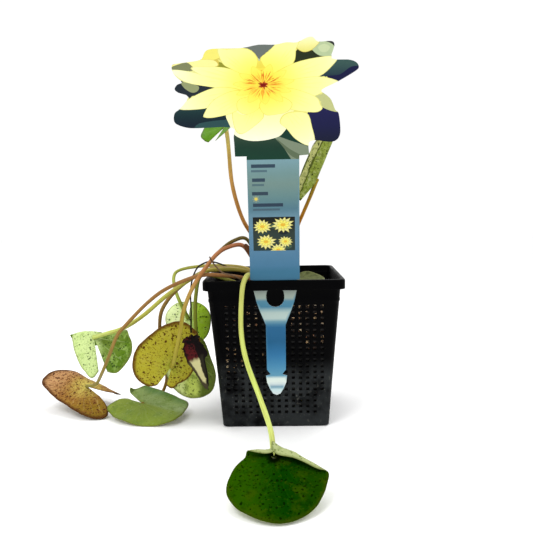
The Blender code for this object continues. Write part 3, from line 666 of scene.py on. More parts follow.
def packed_shader():
    """Wet stones in dark soil: pale dry ones, brightened past white as painted light, show only on top and in
    patches.
    """
    shader = Shader("gravel_and_soil", 0.55, Coat_Weight=0.25, Coat_Roughness=0.2)
    place = shader.place()
    warp = shader.noise(place, 160.0, 2.0, output="Color")
    bent = shader.vector("MULTIPLY_ADD", warp, (0.0022, 0.0022, 0.0022), place)[0]
    pick = shader.split(shader.voronoi(bent, 400.0)["Color"])[0]
    gap = shader.voronoi(bent, 400.0, "DISTANCE_TO_EDGE")["Distance"]
    # the ramp's palest stops go past white: painted light that makes up for the shade in the wall's holes
    stone = shader.ramp(pick, [
        (0.0, (20, 14, 10)), (0.42, (44, 28, 18)), (0.50, (210, 146, 92)), (0.64, (300, 256, 190)),
        (0.78, (236, 160, 110)), (0.90, (320, 290, 236)),
    ])
    stone = shader.mix(shader.patches(place, 900.0, 0.45, 0.7, 4.0), stone, tone(98, 66, 44))
    colour = shader.mix(shader.smooth(gap, 0.08, 0.22), tone(20, 14, 10), stone)
    x, _, z = shader.split(place)[0:3]
    flat = shader.node("CombineXYZ", {}, (0, x), (2, z)).outputs[0]
    dry = shader.times(shader.patches(place, 32.0, 0.56, 0.64, 2.0), shader.smooth(z, 0.048, 0.060))
    ragged = shader.times(shader.noise(place, 120.0, 2.0), 0.02)
    for across, up, near in DRY_PATCHES:
        away = shader.vector("DISTANCE", flat, (across, 0.0, up))
        patch = shader.smooth(shader.plus(away["Value"], ragged), near + 0.012, near + 0.008)
        dry = shader.math("MAXIMUM", dry, patch)
    dry = shader.math("MAXIMUM", dry, shader.smooth(z, 0.1015, 0.1035))
    return shader.finish(shader.mix(dry, tone(9, 7, 6), colour), gap, 0.8, 0.0015)


def loose_shader():
    """Dry stones, each with its own colour."""
    shader = Shader("loose_gravel", 0.5, Coat_Weight=0.3, Coat_Roughness=0.15)
    place = shader.place()
    colour = shader.ramp(shader.split(shader.attribute("tint"))[0], [
        (0.0, (52, 38, 28)), (0.2, (112, 74, 48)), (0.4, (178, 128, 88)), (0.55, (214, 182, 142)),
        (0.7, (150, 92, 66)), (0.85, (232, 216, 190)), (1.0, (120, 112, 102)),
    ])
    vein = shader.patches(place, 700.0, 0.42, 0.68, 5.0, 0.65)
    colour = shader.mix(shader.times(vein, 0.7), colour, tone(92, 62, 44))
    dirt = shader.patches(place, 2600.0, 0.62, 0.75, 2.0)
    colour = shader.mix(shader.times(dirt, 0.6), colour, tone(28, 20, 14))
    return shader.finish(colour, shader.noise(place, 1500.0, 4.0), 0.5, 0.0006)


def make_medium(rng):
    """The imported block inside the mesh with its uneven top, and the loose stones on it."""
    gap = BASKET_WALL + CLEARANCE
    points, faces = [], []
    for k in range(BLOCK_LEVELS + 1):
        level = gap + 0.0001 + (MEDIUM_TOP - MEDIUM_MOUND - gap - 0.0005) * k / BLOCK_LEVELS
        half = wall_half(level)
        loop = square_loop(half - gap - 0.0002, max(STRAIGHT_HALF, half - CORNER_RADIUS) - 0.0004, level)
        around = len(loop)
        for p in loop:
            dent = 0.0012 * max(0.0, noise.noise(p * 260))
            points.append(p * (1 - dent / max(0.02, Vector((p.x, p.y)).length)))
        if k:
            faces += band((k - 1) * around, k * around, around)
    faces.append(tuple(reversed(range(around))))
    edge = points[-around:]
    for ring in range(1, MOUND_RINGS):
        share = 1 - ring / MOUND_RINGS
        start = len(points)
        flat = [(p.x * share, p.y * share) for p in edge]
        points += [Vector((x, y, medium_height(x, y))) for x, y in flat]
        faces += band(start - around, start, around)
    centre = len(points)
    points.append(Vector((0, 0, medium_height(0, 0))))
    last = centre - around
    faces += [(last + i, last + (i + 1) % around, centre) for i in range(around)]
    medium = new_piece("packed_medium", points, faces, "gravel_soil", ["growing_medium"])
    medium.data.materials.append(packed_shader())

    points, faces, tints, placed = [], [], [], []
    half = wall_half(MEDIUM_TOP) - BASKET_WALL - STONES_OFF_WALL
    for _ in range(STONE_TRIES):
        size = rng.choice(STONE_SIZES)
        x, y = rng.uniform(-half, half), rng.uniform(-half, half)
        if any((x - a) ** 2 + (y - b) ** 2 < (STONE_SPACING * (size + c)) ** 2 for a, b, c in placed):
            continue
        from_x, from_y = abs(x - CROWN_CENTRE[0]), abs(y - CROWN_CENTRE[1])
        if from_x < CROWN_HALF[0] * 0.7 and from_y < CROWN_HALF[1] * 0.8:
            continue  # it would be inside the crown
        placed.append((x, y, size))
        stone, stone_faces = rough_stone(rng, size)
        start = len(points)
        foot = Vector((x, y, medium_height(x, y) + size * 0.22))
        points += [foot + p for p in stone]
        faces += [tuple(start + i for i in face) for face in stone_faces]
        tints += [[rng.random() for _ in range(3)]] * len(stone)
    stones = new_piece("gravel_stones", points, faces, "gravel_soil", [])
    set_values(stones, "tint", tints, "FLOAT_VECTOR")
    stones.data.materials.append(loose_shader())


# ---------------------------------------------------------------- crown

SCARS = 26
SCAR_SIZE = 0.20


def make_crown(rng):
    """The rhizome's knuckle, with leaf scars."""
    scars = [(rng.gauss(0, 1), rng.gauss(0, 1), rng.uniform(0, 1)) for _ in range(SCARS)]
    scars = [Vector(scar).normalized() for scar in scars]

    def shape(way):
        way = way.normalized()
        bulge = 1.0 + 0.05 * math.sin(9.0 * way.y) + 0.07 * noise.noise(way * 3.1)
        bulge += 0.035 * noise.noise(way * 11.0)
        for near in ((way - scar).length / SCAR_SIZE for scar in scars):
            if near < 1.4:
                bulge += 0.05 * (math.exp(-((near - 1.0) / 0.18) ** 2) - 0.8 * math.exp(-(near / 0.6) ** 2))
        return Vector([c + w * h * bulge * 0.97 for c, w, h in zip(CROWN_CENTRE, way, CROWN_HALF)])

    crown = new_piece("crown_knuckle", *ball(6, shape), "rhizome", ["rhizome_crown"])
    shader = Shader("crown_skin", 0.75)
    place = shader.place()
    colour = shader.ramp(shader.noise(place, 260.0, 6.0, 0.65), [
        (0.25, (22, 14, 9)), (0.45, (62, 42, 24)), (0.6, (104, 78, 44)), (0.8, (146, 122, 76)),
    ])
    fibres = shader.noise(shader.vector("MULTIPLY", place, (1.0, 0.12, 1.0))[0], 2200.0)
    colour = shader.mix(shader.smooth(fibres, 0.5, 0.68), colour, tone(40, 26, 16))
    crown.data.materials.append(shader.finish(colour, fibres, 0.6, 0.0008))


# ---------------------------------------------------------------- blades

RINGS = 22
SECTORS = 112
VEIN_STEP = 8  # sectors from one raised vein to the next
VEIN_RISE = 0.00028
VEIN_DIP = 0.00010  # of the upper side, over a vein
EDGE_THICKNESS = 0.55  # share of the sheet's thickness that is left at the edge
BLADE_SHEET = 0.0008
RIPPLE = 0.0005
RAGGED = 0.012  # how far a blade's edge wanders, as a share of its reach
TEARS = 6.0

# Each side's base colour and layers. A layer covers what is under it:
#   blotch: size in mm, noise from, noise to, colour, strength
#   specks: spacing in mm, share of the cells, radius as a share of the spacing, colour, strength
#   sweep: degrees from the tip, from mm, to mm, colour, strength
#   rim: from share, to share of the way to the edge, colour, strength
#   foot: solid to mm, gone at mm, colour, strength
#   veins: number, width in mm, colour, strength
BLADE_LOOKS = {
    "leaf_front": dict(
        slot="leaf_green", roughness=0.33, shine=0.0,
        upper=((8, 58, 0), [
            ("sweep", 90, -6, 24, (44, 86, 0), 0.85), ("sweep", -90, 4, 30, (32, 68, 0), 0.7),
            ("blotch", 14, 0.50, 0.64, (60, 84, 2), 0.5), ("blotch", 5, 0.52, 0.70, (4, 40, 0), 0.6),
            ("veins", 15, 0.5, (32, 92, 6), 0.25), ("specks", 2.4, 0.7, 0.46, (4, 24, 0), 0.85),
            ("specks", 1.4, 0.8, 0.46, (2, 20, 0), 0.8), ("blotch", 2.2, 0.58, 0.68, (72, 92, 10), 0.35),
            # the foot layer is painted shade: near black round the stalk, where the lobes folded over it
            # shade the blade
            ("rim", 0.93, 1.0, (64, 80, 10), 0.6), ("foot", 3.5, 7, (4, 10, 0), 0.95),
        ]),
        under=((188, 198, 138), [
            ("veins", 15, 0.5, (208, 216, 164), 0.4), ("blotch", 6, 0.5, 0.7, (152, 168, 100), 0.6),
            ("specks", 1.8, 1.0, 0.5, (104, 120, 58), 0.8), ("rim", 0.88, 1.0, (116, 128, 62), 0.7),
        ]),
    ),
    "leaf_brown": dict(
        slot="leaf_underside_red", roughness=0.5, shine=0.06,
        upper=((116, 96, 22), [
            ("blotch", 8, 0.45, 0.65, (92, 70, 14), 0.6), ("veins", 13, 0.4, (150, 128, 50), 0.4),
            ("specks", 2.0, 0.5, 0.4, (72, 34, 14), 0.7), ("rim", 0.9, 1.0, (84, 48, 16), 0.8),
        ]),
        under=((170, 124, 52), [
            ("sweep", 0, 6, 32, (212, 162, 112), 0.85), ("foot", 3, 21, (228, 214, 104), 0.92),
            ("sweep", 140, 8, 30, (150, 122, 24), 0.85), ("blotch", 6, 0.50, 0.64, (146, 94, 42), 0.55),
            ("veins", 13, 0.4, (222, 196, 128), 0.3), ("blotch", 2.2, 0.52, 0.64, (122, 66, 30), 0.65),
            ("specks", 2.7, 0.8, 0.5, (74, 22, 8), 0.92), ("specks", 1.6, 1.1, 0.52, (80, 28, 12), 0.88),
            ("specks", 1.0, 1.1, 0.5, (104, 46, 22), 0.75),
            ("rim", 0.86, 0.98, (84, 44, 10), 0.9),
        ]),
    ),
    "leaf_folded": dict(
        slot="leaf_pale", roughness=0.42, shine=0.08,
        upper=((112, 148, 40), [
            ("blotch", 7, 0.45, 0.65, (92, 130, 24), 0.5), ("veins", 13, 0.4, (150, 178, 80), 0.4),
            ("specks", 2.4, 0.4, 0.42, (64, 90, 16), 0.6), ("rim", 0.92, 1.0, (88, 108, 28), 0.6),
        ]),
        under=((212, 234, 154), [
            # the two sweeps to the right are painted shade: the hollow right half is darker because it lies
            # in shade
            ("sweep", -105, 0, 8, (100, 128, 22), 0.94), ("sweep", -140, 16, 32, (88, 128, 4), 0.8),
            ("blotch", 9, 0.5, 0.66, (184, 214, 116), 0.45), ("veins", 13, 0.4, (226, 240, 178), 0.2),
            ("blotch", 1.6, 0.56, 0.66, (90, 120, 40), 0.45),
            ("specks", 2.5, 0.7, 0.44, (44, 66, 14), 0.88), ("specks", 1.4, 1.0, 0.48, (52, 78, 20), 0.85),
            ("specks", 0.9, 0.9, 0.46, (80, 106, 40), 0.6),
            ("rim", 0.92, 1.0, (136, 150, 66), 0.6),
        ]),
    ),
    "leaf_olive": dict(
        slot="leaf_olive", roughness=0.45, shine=0.06,
        upper=((130, 128, 34), [
            ("blotch", 8, 0.45, 0.65, (104, 106, 22), 0.6), ("veins", 13, 0.4, (160, 158, 66), 0.4),
            ("specks", 2.0, 0.5, 0.4, (80, 50, 12), 0.6), ("rim", 0.88, 1.0, (96, 60, 14), 0.8),
        ]),
        under=((176, 168, 46), [
            ("foot", 2, 16, (162, 170, 52), 0.8), ("sweep", -150, 6, 24, (160, 138, 30), 0.6),
            ("blotch", 8, 0.5, 0.66, (184, 172, 66), 0.5), ("veins", 13, 0.4, (184, 182, 78), 0.25),
            ("blotch", 1.9, 0.55, 0.66, (122, 88, 16), 0.6), ("specks", 2.6, 0.8, 0.48, (74, 32, 4), 0.92),
            ("specks", 1.5, 1.1, 0.5, (84, 44, 6), 0.88), ("specks", 1.0, 1.0, 0.5, (104, 66, 12), 0.7),
            ("rim", 0.87, 0.97, (92, 52, 8), 0.92),
        ]),
    ),
    "leaf_floor": dict(
        slot="leaf_green", roughness=0.3, shine=0.12,
        upper=((136, 158, 40), [
            # the second sweep is a painted sheen: a pale band beside the midrib on the far half, where light
            # glances off
            ("sweep", 180, 2, 24, (164, 182, 66), 0.7), ("sweep", -90, 0, 5, (152, 176, 104), 0.85),
            ("sweep", -90, 11, 21, (82, 126, 48), 0.9), ("blotch", 8, 0.5, 0.64, (104, 136, 26), 0.5),
            ("veins", 15, 0.45, (170, 190, 96), 0.25), ("blotch", 2.2, 0.54, 0.68, (110, 136, 32), 0.5),
            ("specks", 2.2, 0.6, 0.42, (92, 104, 22), 0.6),
            # these whitish blotches are painted highlights
            ("blotch", 3.2, 0.58, 0.72, (182, 200, 150), 0.4),
            ("rim", 0.94, 1.0, (104, 112, 30), 0.7), ("foot", 1, 5, (120, 128, 46), 0.6),
        ]),
        under=((170, 172, 96), [("veins", 15, 0.45, (190, 194, 128), 0.5)]),
    ),
    "leaf_side": dict(
        slot="leaf_green", roughness=0.36, shine=0.08,
        upper=((204, 222, 104), [
            # painted light: the pale sweep on the left is a painted highlight, and the dark sweep on the
            # right is painted shade beside the pot
            ("sweep", 90, 2, 10, (228, 242, 156), 0.85), ("sweep", -90, 2, 9, (56, 72, 10), 0.92),
            ("blotch", 7, 0.48, 0.64, (96, 120, 30), 0.6), ("veins", 13, 0.5, (166, 184, 110), 0.25),
            ("specks", 2.4, 0.7, 0.46, (44, 58, 10), 0.85), ("specks", 1.3, 0.7, 0.46, (62, 78, 18), 0.7),
            ("rim", 0.9, 1.0, (78, 90, 22), 0.75),
        ]),
        under=((176, 190, 110), [
            ("blotch", 7, 0.48, 0.64, (150, 168, 84), 0.5), ("veins", 13, 0.45, (196, 206, 138), 0.5),
            ("specks", 2.2, 0.5, 0.44, (84, 100, 40), 0.7), ("rim", 0.9, 1.0, (112, 124, 50), 0.7),
        ]),
    ),
    "leaf_back": dict(
        slot="leaf_pale", roughness=0.42, shine=0.08,
        upper=((128, 156, 52), [
            ("blotch", 7, 0.45, 0.65, (104, 136, 36), 0.5), ("veins", 13, 0.4, (158, 184, 90), 0.4),
            ("rim", 0.92, 1.0, (96, 110, 34), 0.6),
        ]),
        under=((194, 240, 60), [
            # the first sweep is painted light: the left of the blade shines pale where light comes through
            # the thin leaf
            ("sweep", -90, -8, 4, (276, 290, 222), 0.92), ("blotch", 7, 0.45, 0.65, (214, 246, 112), 0.5),
            ("veins", 13, 0.4, (180, 204, 118), 0.25), ("specks", 2.5, 0.75, 0.46, (54, 84, 12), 0.9),
            ("specks", 1.4, 0.7, 0.46, (76, 106, 28), 0.75), ("rim", 0.9, 1.0, (110, 128, 36), 0.6),
        ]),
    ),
    "leaf_upright": dict(
        slot="leaf_green", roughness=0.4, shine=0.08,
        upper=((88, 140, 6), [
            ("blotch", 7, 0.45, 0.65, (70, 114, 8), 0.6), ("veins", 13, 0.4, (128, 166, 56), 0.3),
            ("sweep", 90, 6, 20, (132, 164, 84), 0.6), ("specks", 1.6, 0.4, 0.4, (60, 84, 10), 0.5),
            ("rim", 0.92, 1.0, (78, 92, 20), 0.7),
        ]),
        under=((170, 186, 118), [("veins", 13, 0.4, (196, 208, 146), 0.5)]),
    ),
    "leaf_furled": dict(
        slot="leaf_pale", roughness=0.42, shine=0.08,
        upper=((120, 140, 50), [
            ("blotch", 7, 0.45, 0.65, (96, 118, 36), 0.5), ("veins", 13, 0.4, (150, 170, 84), 0.4),
            ("specks", 2.4, 0.5, 0.42, (60, 78, 20), 0.6),
        ]),
        under=((146, 162, 64), [
            # painted light: the pale blotches are painted highlights on the roll, and the thin dark sweep is
            # painted shade along a fold line, with the paler part of the blade past it
            ("blotch", 6, 0.5, 0.66, (200, 208, 140), 0.6), ("sweep", 90, 10.5, 11.2, (62, 70, 12), 0.85),
            ("sweep", 90, 11.6, 12.6, (202, 204, 128), 0.9), ("veins", 13, 0.3, (110, 128, 44), 0.4),
            ("blotch", 3.0, 0.52, 0.62, (92, 104, 22), 0.6), ("specks", 2.2, 0.7, 0.48, (30, 46, 8), 0.9),
            ("specks", 1.1, 0.6, 0.44, (44, 62, 14), 0.8), ("rim", 0.86, 1.0, (50, 54, 14), 0.8),
        ]),
    ),
    "leaf_inside": dict(
        slot="leaf_pale", roughness=0.45, shine=0.1,
        upper=((100, 108, 54), [
            ("blotch", 4, 0.45, 0.65, (66, 72, 30), 0.75), ("veins", 9, 0.3, (136, 140, 84), 0.4),
            ("rim", 0.9, 1.0, (142, 146, 92), 0.5),
        ]),
        under=((140, 138, 98), []),
    ),
    "leaf_dead": dict(
        slot="leaf_dead", roughness=0.75, shine=0.1, ragged=0.45, tears=5.0,
        upper=((10, 2, 2), [
            ("sweep", 50, 3, 7, (104, 26, 30), 0.6), ("blotch", 3, 0.5, 0.56, (84, 20, 24), 0.6),
            ("blotch", 2, 0.52, 0.56, (10, 2, 2), 0.8),
            ("sweep", 0, 14, 18, (212, 206, 148), 0.95),
            ("rim", 0.82, 0.9, (30, 12, 8), 0.92), ("sweep", -90, 0.5, 1.3, (12, 4, 4), 0.97),
        ]),
        under=((16, 5, 4), [("blotch", 5, 0.5, 0.62, (84, 26, 26), 0.7)]),
    ),
}


class BladeSide:
    """The colours of one side of a blade, layer by layer."""

    def __init__(self, shader, flat, share):
        self.shader, self.flat, self.share = shader, flat, share
        self.across, self.along = shader.split(flat)[0:2]
        self.reach = shader.vector("LENGTH", flat)["Value"]
        self.angle = shader.math("ARCTAN2", self.across, self.along)

    def blotch(self, shift, size, low, high):
        return self.shader.patches(shift, 1.0 / size, low, high, 4.0, 0.6)

    def specks(self, shift, spacing, amount, radius):
        """Small bent spots in crowds."""
        shader = self.shader
        bend = shader.noise(shift, 1.3 / spacing, 2.0, output="Color")
        bent = shader.vector("MULTIPLY_ADD", bend, (0.9 * spacing, 0.9 * spacing, 0.0), shift)[0]
        cells = shader.voronoi(bent, 1.0 / spacing)
        pick, size = shader.split(cells["Color"])[0:2]
        near = shader.math("SUBTRACT", shader.times(size, radius), cells["Distance"])
        crowd = shader.patches(shift, 0.11, 0.25, 0.62, 2.0)
        chosen = shader.math("LESS_THAN", pick, shader.times(crowd, amount * 1.3))
        return shader.times(shader.smooth(near, 0.0, 0.10), chosen)

    def sweep(self, shift, way, start, end):
        """All that lies past a ragged line across the blade."""
        shader = self.shader
        far = shader.times(self.across, math.sin(math.radians(way)))
        far = shader.plus(far, shader.times(self.along, math.cos(math.radians(way))))
        far = shader.plus(far, shader.times(shader.noise(shift, 0.12), 6.0))
        return shader.smooth(far, start + 3.0, end + 3.0)

    def rim(self, shift, start, end):
        ragged = self.shader.times(self.shader.noise(shift, 0.35, 4.0), 0.08)
        return self.shader.smooth(self.shader.plus(self.share, ragged), start + 0.04, end + 0.04)

    def foot(self, shift, solid, gone):
        ragged = self.shader.times(self.shader.noise(shift, 0.4), gone * 0.5)
        return self.shader.smooth(self.shader.plus(self.reach, ragged), gone * 1.25, solid * 1.25)

    def veins(self, _, count, width):
        """Lines out from the stalk, and finer ones between them that start further out."""
        shader = self.shader
        wobble = shader.times(shader.noise(self.flat, 0.09), 0.9)
        masks = []
        for lines, offset, start, strength in ((count, 0.0, 0.0, 1.0), (2 * count, 0.5, 0.35, 0.7)):
            turn = shader.plus(shader.plus(shader.times(self.angle, lines / math.tau), offset), wobble)
            away = shader.times(shader.math("PINGPONG", turn, 0.5), math.tau / lines)
            line = shader.smooth(shader.times(away, self.reach), width, width * 0.25)
            line = shader.times(line, shader.smooth(self.share, start, start + 0.08))
            masks.append(shader.times(line, strength))
        return shader.times(shader.math("MAXIMUM", *masks), shader.smooth(self.share, 1.0, 0.7))

    def colour(self, look):
        base, layers = look
        colour = tone(*base)
        for number, (kind, *values, layer_colour, strength) in enumerate(layers):
            shift = self.shader.vector("ADD", self.flat, (17.0 * number, 9.0 * number, 0.0))[0]
            mask = getattr(self, kind)(shift, *values)
            colour = self.shader.mix(self.shader.times(mask, strength), colour, tone(*layer_colour))
        return colour


def blade_shader(name, look):
    shader = Shader(name + "_skin", look["roughness"], Specular_IOR_Level=look["shine"])
    flat = shader.attribute("flat")
    side = BladeSide(shader, flat, shader.attribute("share", "Fac"))
    under = shader.math("GREATER_THAN", shader.attribute("underside", "Fac"), 0.5)
    colour = shader.mix(under, side.colour(look["upper"]), side.colour(look["under"]))
    height = shader.plus(shader.noise(flat, 2.2, 4.0, 0.6), shader.times(shader.noise(flat, 9.0, 2.0), 0.3))
    rough = shader.uneven(shader.noise(flat, 0.25), 0.22, look["roughness"] - 0.1)
    return shader.finish(colour, height, 0.22, 0.0004, rough)


def vein_height(sector):
    """How far a vein stands out of the underside here, as a share of the most."""
    near = min(sector % VEIN_STEP, VEIN_STEP - sector % VEIN_STEP)
    return {0: 1.0, 1: 0.35}.get(near, 0.0)


def blade_middle(blade, look, angles, shares, seed):
    """The middle of the sheet, ring by ring: the first ring is the stalk's foot alone."""
    rings = [[metres(blade["foot"])]]
    for share in shares[1:]:
        row = []
        for angle in angles:
            way = Vector((math.cos(angle), math.sin(angle), 0.0)) * look.get("tears", TEARS)
            torn = 1.0 + look.get("ragged", RAGGED) * share * noise.noise(way + seed)
            row.append(blade_place(blade, angle, share * torn))
        rings.append(row)
    return rings


def make_blade(name, blade, look):
    """A closed sheet wrapped round the stalk's foot: thin at its edge, with veins under it."""
    first, last = blade["outline"][0][0], blade["outline"][-1][0]
    angles = [math.radians(last + (first - last) * k / SECTORS) for k in range(SECTORS + 1)]
    shares = [(ring / RINGS) ** 0.9 for ring in range(RINGS + 1)]
    seed = Vector((blade["foot"][0] * 0.5, blade["foot"][2] * 0.5, 3.0))
    middle = blade_middle(blade, look, angles, shares, seed)
    face = blade_frame(blade)[2]

    def normal_at(ring, sector):
        if ring == 0:
            return face
        here = middle[ring]
        before, after = here[max(0, sector - 1)], here[min(SECTORS, sector + 1)]
        inner = middle[ring - 1][sector if ring > 1 else 0]
        outer = middle[min(RINGS, ring + 1)][sector]
        return (outer - inner).cross(after - before).normalized()

    # which way the grid's own normal points against the blade's upper side
    flip = normal_at(2, SECTORS // 2).dot(face) < 0
    points, flat, share_values, under, index = [], [], [], [], []
    for side, sign in enumerate((1.0, -1.0)):
        table = []
        for ring, share in enumerate(shares):
            table.append(list(range(len(points), len(points) + len(middle[ring]))))
            thick = BLADE_SHEET / 2 * (1.0 - (1.0 - EDGE_THICKNESS) * share)
            for sector, place in enumerate(middle[ring]):
                angle = angles[sector] if ring else 0.0
                reach = reach_at(blade["outline"], math.degrees(angle)) * share
                vein = vein_height(sector) * (1.0 - share) ** 0.6 if ring else 0.0
                lift = thick + (VEIN_RISE if sign < 0 else -VEIN_DIP) * vein
                ripple = RIPPLE * share * noise.noise(place * 95 + seed)
                points.append(place + normal_at(ring, sector) * (sign * lift + ripple))
                flat.append((math.sin(angle) * reach, math.cos(angle) * reach, 0.0))
                share_values.append(share)
                under.append(side ^ flip)
        index.append(table)
    faces = []
    for side, table in enumerate(index):
        quads = [(table[0][0], table[1][sector], table[1][sector + 1]) for sector in range(SECTORS)]
        for inner, outer in zip(table[1:], table[2:]):
            quads += [(inner[k], outer[k], outer[k + 1], inner[k + 1]) for k in range(SECTORS)]
        faces += [tuple(reversed(q)) if side else q for q in quads]
    top, bottom = (
        [row[0] for row in table] + table[RINGS][1:] + [row[-1] for row in reversed(table[1:RINGS])]
        for table in index
    )
    for k, n in zip(range(len(top)), [*range(1, len(top)), 0]):
        faces.append((top[n], top[k], bottom[k], bottom[n]))
    piece = new_piece(name + "_blade", points, faces, look["slot"], [name])
    set_values(piece, "flat", flat, "FLOAT_VECTOR")
    set_values(piece, "share", share_values)
    set_values(piece, "underside", under)
    piece.data.materials.append(blade_shader(name, look))


# ---------------------------------------------------------------- stalks

TUBE_SIDES = 16
TUBE_STEPS = 8
DOME = [math.radians(degrees) for degrees in (35, 65, 82)]  # the rings of a stalk's round end
RIBS = 4  # shallow ones, along the stalk
RIB_HEIGHT = 0.035
STREAK_TINT = (0.80, 0.72, 0.58, 1.0)
THIN_STALK = 2.0  # mm; a thinner one has no swollen ends


def tube(points, radii):
    """Ribbed rings of points along a route, with domed ends: points, faces, and each point's angle and
    distance along the tube."""
    count = len(points)
    tangents = [(points[min(k + 1, count - 1)] - points[max(k - 1, 0)]).normalized() for k in range(count)]
    normal = tangents[0].orthogonal().normalized()
    length, stations = 0.0, []
    for k, (place, tangent, radius) in enumerate(zip(points, tangents, radii)):
        if k:
            length += (place - points[k - 1]).length
            normal = (normal - tangent * normal.dot(tangent)).normalized()
        stations.append((place, tangent, normal, radius, length))
    caps = []
    for (place, tangent, normal, radius, at), sign in ((stations[0], -1.0), (stations[-1], 1.0)):
        out = tangent * sign * radius * 0.5
        caps.append([(place + out * math.sin(a), tangent, normal, radius * math.cos(a), at) for a in DOME])
    rings, skin, faces = [], [], []
    for k, (place, tangent, normal, radius, at) in enumerate(caps[0][::-1] + stations + caps[1]):
        other = tangent.cross(normal)
        for angle in (math.tau * side / TUBE_SIDES for side in range(TUBE_SIDES)):
            rib = 1.0 + RIB_HEIGHT * math.cos(angle * RIBS + k * 0.02)
            rings.append(place + (normal * math.cos(angle) + other * math.sin(angle)) * radius * rib)
            skin.append((math.cos(angle), math.sin(angle), at * 1000))
        if k:
            faces += band((k - 1) * TUBE_SIDES, k * TUBE_SIDES, TUBE_SIDES)
    faces.append(tuple(reversed(range(TUBE_SIDES))))
    faces.append(tuple(range(len(rings) - TUBE_SIDES, len(rings))))
    return rings, faces, skin


def stalk_shader(name, stalk):
    dead = stalk["slot"] == "stalk_dead"
    roughness, coat = (0.7, 0.0) if dead else (0.36, 0.1)
    shader = Shader(name + "_skin", roughness, Coat_Weight=coat, Coat_Roughness=0.2)
    along, skin = shader.attribute("along", "Fac"), shader.attribute("skin")
    colours, speck = stalk["colours"], tone(*stalk["speck"])
    colour = shader.ramp(along, [(k / (len(colours) - 1), colour) for k, colour in enumerate(colours)])
    # painted shade: the very end takes the near black that is painted round the blade's stalk
    if "end" in stalk:
        colour = shader.mix(shader.smooth(along, 0.970, 0.985), colour, tone(*stalk["end"]))

    def stretched(x, z):
        return shader.vector("MULTIPLY", skin, (x, x, z))[0]

    streak = shader.noise(stretched(2.4, 0.05), 1.0, 4.0, 0.6)
    darker = shader.mix(1.0, colour, STREAK_TINT, "MULTIPLY")
    colour = shader.mix(shader.smooth(streak, 0.42, 0.66), colour, darker)
    blush = shader.patches(stretched(0.5, 0.07), 1.0, 0.5, 0.7)
    colour = shader.mix(shader.times(blush, 0.3), colour, speck)
    cells = shader.voronoi(stretched(1.6, 0.9), 1.0)
    chosen = shader.math("LESS_THAN", shader.split(cells["Color"])[0], 0.25)
    spot = shader.times(shader.smooth(cells["Distance"], 0.2, 0.12), chosen)
    colour = shader.mix(shader.times(spot, 0.6), colour, speck)
    return shader.finish(colour, streak, 0.3, 0.0003)


def make_stalk(name, stalk):
    """A tapered tube from the crown to the blade, thicker where it meets either."""
    points = [metres(p) for p in stalk["route"]]
    if stalk["blade"]:
        blade = BLADES[stalk["blade"]]
        points.append(metres(blade["foot"]) - blade_frame(blade)[2] * (BLADE_SHEET / 2 + CLEARANCE / 2))
    route = smooth_route(points, TUBE_STEPS)
    seed = Vector((len(name) * 3.7, ord(name[-1]) * 1.3, ord(name[6]) * 2.1))
    radii = []
    for k, place in enumerate(route):
        along = k / (len(route) - 1)
        radius = stalk["width"] * MM / 2 * (1.0 + 0.05 * noise.noise(place * 120 + seed))
        radius *= (1.0 + 0.22 * math.exp(-along * 14)) * (1.0 - stalk.get("taper", 0.0) * along)
        if stalk["blade"]:
            radius *= 1.0 + 0.25 * math.exp(-(1 - along) * 26)
        elif stalk["width"] > THIN_STALK:
            radius *= 1.0 - 0.35 * math.exp(-(1 - along) * 22)
        radii.append(radius)
    rings, faces, skin = tube(route, radii)
    piece = new_piece(name + "_tube", rings, faces, stalk["slot"], [name])
    piece.data.set_sharp_from_angle(angle=math.radians(60))
    set_values(piece, "along", [at / skin[-1][2] for _, _, at in skin])
    set_values(piece, "skin", skin, "FLOAT_VECTOR")
    piece.data.materials.append(stalk_shader(name, stalk))


# ---------------------------------------------------------------- label

# The print, and a painted glare, in millimetres across and up the flat card, from the back of the picture to
# the front. A fill is one colour, or ("up", stops) by height, or ("ray", stops) by the distance from the
# flower's middle.
FLOWER_MIDDLE = (-6.0, 147.0)
RAY_SQUASH = 1.25  # the flower is seen from the side, so its rings of colour are wider than they are high
PETAL = ("ray", [
    (8, (262, 244, 84)), (20, (264, 258, 120)), (32, (264, 262, 160)), (48, (264, 263, 180)),
    (68, (264, 264, 222)),
])
PETAL_EDGE = ("ray", [(10, (248, 220, 64)), (26, (240, 232, 112)), (66, (240, 240, 176))])
SMALL_PETAL_EDGE = ("ray", [(0, (214, 190, 70)), (90, (226, 210, 110))])
PETAL_VEIN = ("ray", [(10, (252, 238, 90)), (30, (250, 246, 140)), (60, (256, 254, 196))])
INNER_PETAL = ("ray", [(8, (255, 240, 76)), (22, (262, 254, 122))])
INNER_PETAL_EDGE = ("ray", [(8, (250, 226, 70)), (22, (255, 244, 104))])
INNER_PETALS = 11
STAMENS = 76
STAMEN_TONES = ((250, 160, 44), (238, 132, 36), (255, 196, 66), (222, 104, 30), (255, 214, 84))
STAMEN_HEART = (168, 52, 20)
HEART = (128, 18, 8)
PETAL_SHRINK = 0.95
BLEED = 1.025  # how much larger the picture is than the card
